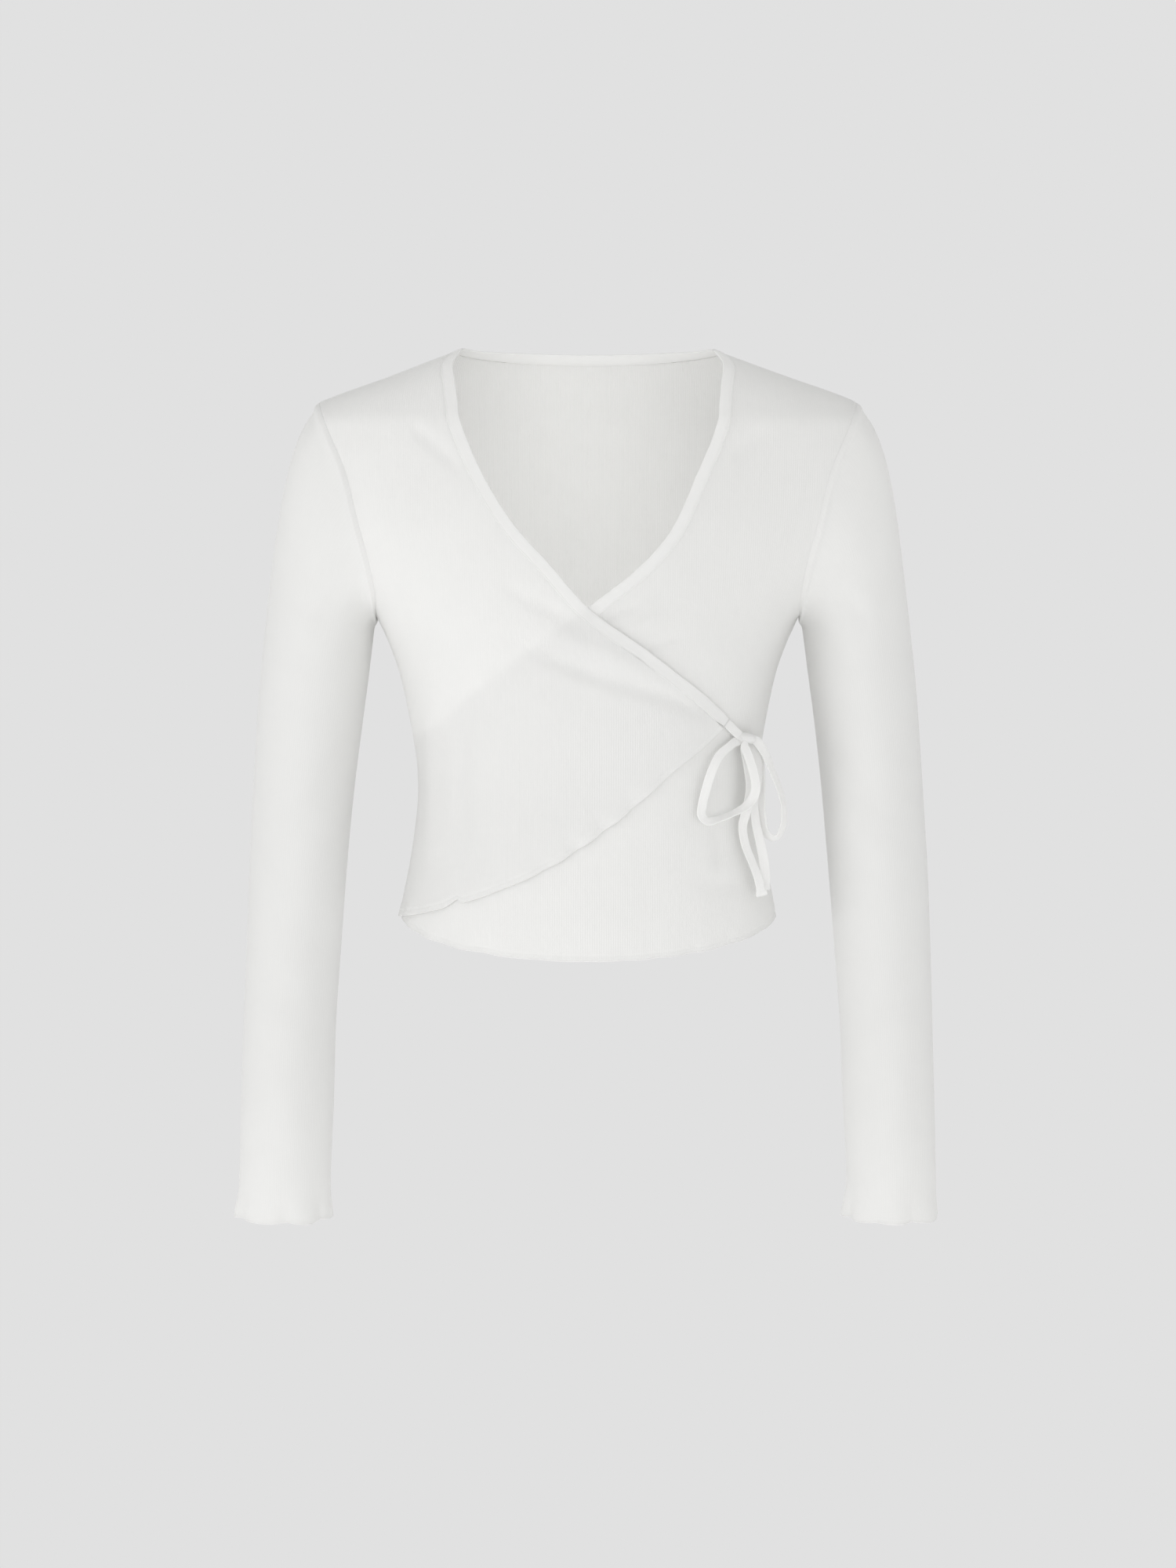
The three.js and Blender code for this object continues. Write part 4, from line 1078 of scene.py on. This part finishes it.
def edge_distances(grid):
    """Each grid point's distance from the four edges, measured square to them."""
    return {
        "left": cumulative(grid, 1) * squareness(grid[:, 0], grid[:, NEAR_FIRST])[:, None],
        "right": cumulative(grid, 1, True) * squareness(grid[:, -1], grid[:, NEAR_LAST])[:, None],
        "hem": cumulative(grid, 0) * squareness(grid[0], grid[NEAR_FIRST])[None, :],
        "top": cumulative(grid, 0, True) * squareness(grid[-1], grid[NEAR_LAST])[None, :],
    }


def lobes(turn):
    """A wave from -1 to 1 with broad crests and sharp troughs, one for each half turn."""
    return 2 * np.sqrt(np.sin(turn) ** 2 + TROUGH_ROUNDING) - 1


def ripple(along, phase):
    """An uneven wave along a hem, about from -1 to 1, for places in metres along it."""
    uneven = 0.62 + 0.38 * np.sin(along / 0.029 + 2.3 * phase)
    return uneven * lobes(along / 0.0098 + 0.9 * np.sin(along / 0.033 + phase) + phase)


def neck_corner(side):
    return side_point(side, NECK_SEAM_DROP)


def shoulder_seam(side, shares):
    return side_point(side, SHOULDER_DROP + (NECK_SEAM_DROP - SHOULDER_DROP) * shares)


def right_front_grid():
    neck_points = [neck_corner(RIGHT), *seen_points(NECK_SEAM_RIGHT, FRONT)]
    neck = curve_on_torso(neck_points, 1 - graded(ROWS))
    hem_points = [side_point(RIGHT, HEM_DROP), *seen_points(WRAP_HEM[::-1], FRONT), neck[0]]
    columns = graded(FRONT_COLUMNS)
    hem = curve_on_torso(hem_points, columns)
    return patch(hem, shoulder_seam(RIGHT, columns), side_edge(RIGHT, FRONT), neck, FRONT)


def left_front_grid():
    far_end = side_point(RIGHT, UNDER_EDGE_DROP)
    neck_points = [neck_corner(LEFT), *seen_points(NECK_SEAM_LEFT, FRONT), far_end]
    neck = curve_on_torso(neck_points, 1 - graded(ROWS - UNDER_SIDE_ROWS, False, True))
    seam = side_seam(RIGHT, HEM_DROP, UNDER_EDGE_DROP, graded(UNDER_SIDE_ROWS, True, False))
    columns = graded(FRONT_COLUMNS)
    return patch(hem_edge(FRONT, HEM_DIP_FRONT, columns), shoulder_seam(LEFT, columns),
                 side_edge(LEFT, FRONT), np.concatenate([seam, neck[1:]]), FRONT)


def back_neck_seam(shares):
    half = seen_points(NECK_SEAM_BACK, BACK)
    mirrored = [point * (-1, 1, 1) for point in half[-2::-1]]
    return curve_on_torso([neck_corner(LEFT), *half, *mirrored, neck_corner(RIGHT)], shares)


def back_grid():
    columns = 2 * BACK_SHOULDER_COLUMNS + BACK_NECK_COLUMNS
    shoulder = graded(BACK_SHOULDER_COLUMNS, True, False)
    neck = back_neck_seam(np.linspace(0, 1, BACK_NECK_COLUMNS + 1))
    near, far = shoulder_seam(LEFT, shoulder), shoulder_seam(RIGHT, shoulder)[::-1]
    hem = hem_edge(BACK, HEM_DIP_BACK, graded(columns))
    return patch(hem, np.concatenate([near, neck[1:-1], far]), side_edge(LEFT, BACK),
                 side_edge(RIGHT, BACK), BACK)


def sunk_depth(grid):
    """How far each point of the under front lies inside the torso form."""
    share = np.linspace(0, 1, grid.shape[1])
    out_again = COMING_OUT * smoothstep(share, 1 - SINKING_SHARE, 1)
    from_side = smoothstep(share, 0, SINKING_SHARE) - out_again
    from_shoulder = smoothstep(1 - shares_along(grid[:, -1]), 0, SINKING_SHARE)
    return LAYER_STEP * from_shoulder[:, None] * from_side[None, :]


def panel_normals(grid, distances, armholes, facing):
    """Outward directions, turned at an armhole to those that the panel and the sleeve share."""
    normals = torso_normal(grid)
    for edge, side in armholes:
        column_at = 0 if edge == "left" else -1
        shared = shared_directions(side, facing, drop_of(grid[SIDE_ROWS:, column_at]))
        near = 1 - smoothstep(distances[edge][SIDE_ROWS:], 0, SHARED_REACH)
        turned = near[..., None] * shared[:, None] + (1 - near[..., None]) * normals[SIDE_ROWS:]
        normals[SIDE_ROWS:] = unit(turned)
    return normals


def calm_at_armholes(grid, distances, armholes):
    """A share from 0 at the armholes to 1, so that torso and sleeve meet there without a step."""
    below = np.maximum(NECK_HEIGHT - UNDERARM_DROP - grid[..., 2], 0)
    calm = np.ones(grid.shape[:2])
    for edge, side in armholes:
        calm *= smoothstep(np.hypot(distances[edge], below), 0, CALM_REACH)
    return calm


def seam_depth(drop):
    """The seams' depth, which is less below the chest, where an armhole seam lies flat."""
    return SEAM_DEPTH * (1 - GROOVE_FADES_BY * smoothstep(drop, GROOVE_FADES_FROM, GROOVE_FADES_TO))


def hem_height(grid, from_hem, phase, wave):
    """The rolled hem's uneven wave in and out, and its stitch line."""
    stitches = bell(from_hem - STITCH_RISE, STITCH_REACH)
    wave = bell(from_hem, HEM_REACH) * wave * ripple(lengths_along(grid[0])[None, :], phase)
    return wave - HEM_STITCH_DEPTH * stitches


def hem_rise(grid, from_hem, phase):
    """How far the wave lifts the hem: the cloth rises where it goes in."""
    fade = bell(from_hem, HEM_REACH) * np.sin(np.pi * shares_along(grid[0]))[None, :]
    return -HEM_RISE * fade * ripple(lengths_along(grid[0])[None, :], phase)


def notch_of(grid, from_hem):
    """The small step in the outer front's hem, as a lift and a push inwards."""
    apart = grid[..., 0] - NOTCH_ACROSS
    fade = bell(apart, np.where(apart < 0, NOTCH_SLOPE, NOTCH_STEP)) * bell(from_hem, NOTCH_REACH)
    return NOTCH_LIFT * fade, -NOTCH_DEPTH * fade


def make_panel(node, grid, facing, armholes, materials, phase, sunk=0.0, wave=HEM_WAVE, notched=False):
    distances = edge_distances(grid)
    normals = panel_normals(grid, distances, armholes, facing)
    height = torso_relief(grid) * calm_at_armholes(grid, distances, armholes) - sunk
    height += hem_height(grid, distances["hem"], phase, wave)
    lift = hem_rise(grid, distances["hem"], phase)
    if notched:
        notch_lift, notch_push = notch_of(grid, distances["hem"])
        lift, height = lift + notch_lift, height + notch_push
    for seam in ("left", "right", "top"):
        height -= seam_depth(drop_of(grid)) * bell(distances[seam], SEAM_REACH)
    places = np.stack([across_cloth(grid, facing), grid[..., 2]], -1)
    grid = grid + height[..., None] * normals + lift[..., None] * UPWARDS
    make_shell(node, grid, normals, places, materials)


def rolled_edge(name, line, material, closed=False):
    """The thin roll of a hem or a cuff along a line."""
    along = unit(np.roll(line, -1, 0) - np.roll(line, 1, 0)) if closed else along_line(line)
    wide = unit(np.cross(along, UPWARDS))
    section = sections(len(line), ROLL_RADIUS, ROLL_RADIUS, ROLL_SIDES)
    return swept_piece(name, line, wide, np.cross(wide, along), section, material, closed)


def make_shell(node, outer, normals, places, materials, around=False):
    """A panel's or a sleeve's closed wall of cloth, and the thin roll of its free edge."""
    inner = outer - WALL * normals
    wall = wall_piece("cloth_" + node, outer, inner, places, materials[0], around)
    edge = -1 if around else 0
    roll = rolled_edge(wall.name + "_hem", (outer[edge] + inner[edge]) / 2, materials[1], around)
    *flat, area = PATTERNS[node]
    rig.replaces(wall, node)
    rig.sheet(wall, flat=flat, area=area, held="hung", with_pieces=[roll])


# ---- Sleeves ----

CUFF_WAVE = 2.3 * MM
CUFF_RISE = 1.5 * MM
CUFF_REACH = 15 * MM
CUFF_LOBES = 7
CUFF_STITCH_DEPTH = 0.1 * MM
CLOTH_PER_TURN = 0.040  # the flat cloth's width for each radian round a sleeve

# The soft ridge in the sleeve beside the armhole seam.
RIDGE_HEIGHT = 1.1 * MM
RIDGE_PLACE = 4 * MM
RIDGE_REACH = 2.6 * MM

ring_curves = {
    field: curve_through(range(len(SLEEVE_RINGS)), [getattr(ring, field) for ring in SLEEVE_RINGS])
    for field in Ring._fields
}


def sleeve_oval(ring_at, turn, side):
    """A sleeve's plain oval at a ring number, at turns from its outer end that go by the front."""
    ring = Ring(**{field: curve(ring_at) for field, curve in ring_curves.items()})
    share = (1 + np.cos(turn)) / 2
    across = ring.inner + share * (ring.outer - ring.inner)
    drop = ring.inner_drop + share * (ring.outer_drop - ring.inner_drop)
    ahead = ring.forward + ring.depth * np.sin(turn)
    return np.stack([side * across, -ahead, NECK_HEIGHT - drop], -1)


def armhole_loop(turn, side):
    """The armhole at turns from the shoulder tip that go round by the front."""
    drop = UNDERARM_DROP + (1 + np.cos(turn)) / 2 * (SHOULDER_DROP - UNDERARM_DROP)
    front, back = (torso_point(side * armhole_at(drop), drop, facing) for facing in (FRONT, BACK))
    return np.where((np.sin(turn) >= 0)[..., None], front, back)


def sleeve_points(ring_at, turn, side):
    keep = np.maximum(1 - ring_at / LAST_HEAD_RING, 0) ** 2
    start = armhole_loop(turn, side) - sleeve_oval(0 * ring_at, turn, side)
    return sleeve_oval(ring_at, turn, side) + keep[..., None] * start


def sleeve_grid(side):
    even = np.linspace(0, len(SLEEVE_RINGS) - 1, SLEEVE_LINE_POINTS)
    outer_line = sleeve_oval(even, 0 * even, side)
    ring_at = np.interp(graded(SLEEVE_ROWS), shares_along(outer_line), even)
    return sleeve_points(ring_at[:, None], round_turns(SLEEVE_COLUMNS)[None, :], side)


def sleeve_normals(grid, side):
    around = np.roll(grid, -1, 1) - np.roll(grid, 1, 1)
    down = np.gradient(grid, axis=0)
    return unit(-side * np.cross(down, around))


def shared_loop(side):
    """The directions shared by torso and sleeve at the sleeve's own turns round the armhole."""
    grid = sleeve_grid(side)
    return unit(torso_normal(grid[0]) + sleeve_normals(grid, side)[0])


def shared_directions(side, facing, drop):
    """The same directions at some drops on one face of the armhole."""
    turn = np.linspace(0, 2 * np.pi, SLEEVE_COLUMNS + 1)
    loop = shared_loop(side)
    loop = np.concatenate([loop, loop[:1]])
    share = np.clip((drop - UNDERARM_DROP) / (SHOULDER_DROP - UNDERARM_DROP), 0, 1)
    at = np.arccos(np.clip(2 * share - 1, -1, 1))
    at = at if facing == FRONT else 2 * np.pi - at
    return unit(np.stack([np.interp(at, turn, loop[:, k]) for k in range(3)], -1))


def cuff_wave(from_cuff, phase):
    """The uneven lobes round a cuff, with sharp troughs between them, which fade out up the sleeve."""
    turn = round_turns(SLEEVE_COLUMNS)
    uneven = 0.7 + 0.3 * np.sin(3 * turn + 2 * phase)
    wave = uneven * lobes(CUFF_LOBES / 2 * turn + 0.45 * np.sin(2 * turn + phase) + phase)
    return (wave - wave.mean())[None, :] * bell(from_cuff, CUFF_REACH)


def make_sleeve(node, side, materials, phase):
    grid = sleeve_grid(side)
    normals = sleeve_normals(grid, side)
    from_seam, from_cuff = cumulative(grid, 0), cumulative(grid, 0, True)
    near = (1 - smoothstep(from_seam, 0, SHARED_REACH))[..., None]
    normals = unit(near * shared_loop(side)[None] + (1 - near) * normals)
    wave = cuff_wave(from_cuff, phase)
    height = sleeve_relief(grid, side) * smoothstep(from_seam, 0, CALM_REACH) + CUFF_WAVE * wave
    height += RIDGE_HEIGHT * bell(from_seam - RIDGE_PLACE, RIDGE_REACH)
    height -= seam_depth(drop_of(grid[:1])) * bell(from_seam, SEAM_REACH)
    height -= CUFF_STITCH_DEPTH * bell(from_cuff - STITCH_RISE, STITCH_REACH)
    grid[..., 2] -= CUFF_RISE * wave
    length = cumulative(grid, 0)
    length = np.concatenate([length, length[:, :1]], 1)
    across = CLOTH_PER_TURN * np.linspace(0, 2 * np.pi, SLEEVE_COLUMNS + 1)
    places = np.stack(np.broadcast_arrays(across[None, :], length), -1)
    make_shell(node, grid + height[..., None] * normals, normals, places, materials, around=True)


# A sleeve's creases, by ring number and by the turn in degrees from its outer side by the front.
SLEEVE_CREASES = table(Crease, [
    (-1.5, 0.007, [(2.0, 125), (3.4, 105), (4.8, 78)]),
    (1.2, 0.010, [(3.2, 142), (4.6, 120), (5.8, 92)]),
    (-1.3, 0.008, [(7.2, 155), (7.9, 115), (8.3, 75)]),
    (1.1, 0.010, [(8.1, 150), (8.6, 110), (8.9, 65)]),
    (-1.1, 0.009, [(10.0, 45), (10.6, 85), (10.9, 125)]),
    (0.9, 0.011, [(11.2, 60), (11.8, 85), (12.6, 100)]),
    (-1.3, 0.009, [(7.0, 212), (7.8, 250), (8.2, 288)]),
    (1.1, 0.011, [(8.3, 212), (8.7, 250), (9.0, 285)]),
    (-1.3, 0.009, [(3.0, 228), (4.2, 255), (5.4, 278)]),
])


def sleeve_relief(grid, side):
    def line_of(crease):
        return [sleeve_points(np.array(ring), np.radians(turn), side) for ring, turn in crease.points]

    x, y, z = grid[..., 0], grid[..., 1], grid[..., 2]
    slow = np.sin(x / 0.019 + y / 0.023 + 0.4) * np.sin(z / 0.033 + side)
    slower = np.sin(z / 0.061 + y / 0.04 + 2 * side)
    relief = relief_of(SLEEVE_CREASES, grid, line_of)
    return relief + SLEEVE_UNEVENNESS * slow + SLOW_SLEEVE_UNEVENNESS * slower


# ---- Neck bindings ----

BINDING_HALF_WIDTH = 4.3 * MM
BINDING_HALF_THICKNESS = 0.92 * MM
SHOULDER_TURN_REACH = 7 * MM
SHOULDER_NARROWING = 0.2
BINDING_SQUARENESS = 3.6
BINDING_STEP = 1.2 * MM
BINDING_SIDES = 32
BINDING_PUCKER = 0.04
BINDING_UNEVENNESS = 0.015
BINDING_SINK = 0.4 * MM
BINDING_STITCH_INSET = 1.3 * MM
BINDING_STITCH_DEPTH = 0.28 * MM
BINDING_STITCH_REACH = 0.4 * MM
BINDING_TAPER_LENGTH = 12 * MM


def near_neck_corner(points):
    """A share from 1 at a neck corner, where the bindings cross the shoulder, down to 0."""
    apart = np.minimum(*(np.linalg.norm(points - neck_corner(side), axis=1) for side in (RIGHT, LEFT)))
    return bell(apart, SHOULDER_TURN_REACH)[:, None]


def turned_over_shoulder(along, near):
    """A line's directions, which become level and straight back where it crosses the shoulder."""
    straight_back = np.sign(along[:, 1])[:, None] * np.array([0, 1.0, 0])
    return unit((1 - near) * along + near * straight_back)


def binding_sections(length, near, panel_side, end_width):
    """The strip's sections: a stitched groove by the panel, slight puckers, and narrower ends."""
    section = sections(len(length), BINDING_HALF_WIDTH, BINDING_HALF_THICKNESS, BINDING_SIDES,
                       BINDING_SQUARENESS)
    across, up = section[..., 0], section[..., 1]
    seam_edge = panel_side * BINDING_HALF_WIDTH
    stitch_place = panel_side * (BINDING_HALF_WIDTH - BINDING_STITCH_INSET)
    up -= BINDING_STITCH_DEPTH * bell(across - stitch_place, BINDING_STITCH_REACH) * np.sign(up)
    pucker = np.sin(length / (0.9 * MM)) * (0.5 + 0.5 * np.sin(length / (6.7 * MM) + 1.1))
    up *= 1 + BINDING_PUCKER * pucker[:, None]
    across *= (1 + BINDING_UNEVENNESS * np.sin(length / (3.1 * MM)))[:, None]
    to_end = smoothstep(length, length[-1] - BINDING_TAPER_LENGTH, length[-1])[:, None]
    taper = 1 - (1 - end_width) * to_end
    up *= taper
    across[:] = (across + seam_edge) * taper - seam_edge
    narrowed = seam_edge + (across - seam_edge) * (1 - SHOULDER_NARROWING * near)
    across[:] = near * narrowed + (1 - near) * across
    return section


def make_binding(node, seam, inside, material, sunk=0.0, end_width=1.0):
    """A folded strip on the torso beside a panel's edge, on the side away from the panel."""
    shares = np.linspace(0, 1, 1 + round(lengths_along(seam)[-1] / BINDING_STEP))
    sunk = np.interp(shares, shares_along(seam), np.broadcast_to(sunk, len(seam)))
    towards = resampled(inside, shares)
    seam = resampled(seam, shares)
    near = near_neck_corner(seam)
    seam_way = turned_over_shoulder(along_line(seam), near)
    inwards = unit(np.cross(seam_way, torso_normal(seam)))
    inwards *= np.sign((inwards * (towards - seam)).sum())
    middle = onto_torso(seam - (BINDING_WIDTH / 2) * inwards)
    along = turned_over_shoulder(along_line(middle), near)
    wide = unit(np.cross(torso_normal(middle), along))
    out = np.cross(along, wide)
    middle += (torso_relief(middle) - BINDING_SINK - sunk)[:, None] * out
    panel_side = np.sign((wide * inwards).sum())
    section = binding_sections(lengths_along(middle), near, panel_side, end_width)
    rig.replaces(swept_piece("cloth_" + node, middle, wide, out, section, material), node)


# ---- The whole garment ----

def make_garment():
    make_camera()
    strip = knit_material(FOLDED_JERSEY)
    jerseys = (OUTER_JERSEY, UNDER_JERSEY, BACK_JERSEY, SLEEVE_JERSEY)
    outer_cloth, under_cloth, back_cloth, sleeve_cloth = ((knit_material(knit), strip) for knit in jerseys)
    make_ties(strip)
    right, left, back = right_front_grid(), left_front_grid(), back_grid()
    sunk = sunk_depth(left)
    make_panel("front_right", right, FRONT, [("left", RIGHT)], outer_cloth, 0.4, wave=WRAP_HEM_WAVE,
               notched=True)
    make_panel("front_left", left, FRONT, [("left", LEFT)], under_cloth, 1.9, sunk)
    make_panel("back", back, BACK, [("left", LEFT), ("right", RIGHT)], back_cloth, 3.1)
    make_sleeve("sleeve_right", RIGHT, sleeve_cloth, 0.9)
    make_sleeve("sleeve_left", LEFT, sleeve_cloth, 2.6)
    neck_rows = slice(UNDER_SIDE_ROWS, None)
    neck_columns = slice(BACK_SHOULDER_COLUMNS, BACK_SHOULDER_COLUMNS + BACK_NECK_COLUMNS + 1)
    make_binding("binding_right", right[::-1, -1], right[::-1, NEAR_LAST], strip, end_width=0.79)
    make_binding("binding_left", left[neck_rows, -1], left[neck_rows, NEAR_LAST], strip,
                 sunk[neck_rows, -1])
    make_binding("binding_back", back[-1, neck_columns], back[NEAR_LAST, neck_columns], strip)


make_garment()
for light_row in LIGHTS:
    make_light(light_row)
make_stage()
bpy.context.scene.view_settings.view_transform = "Standard"

bpy.context.view_layer.update()
with open("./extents.json", "w") as file:
    json.dump({"cad": [list(corner) for corner in cad_bounds],
               "visual": [list(corner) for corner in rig.bounds()]}, file)
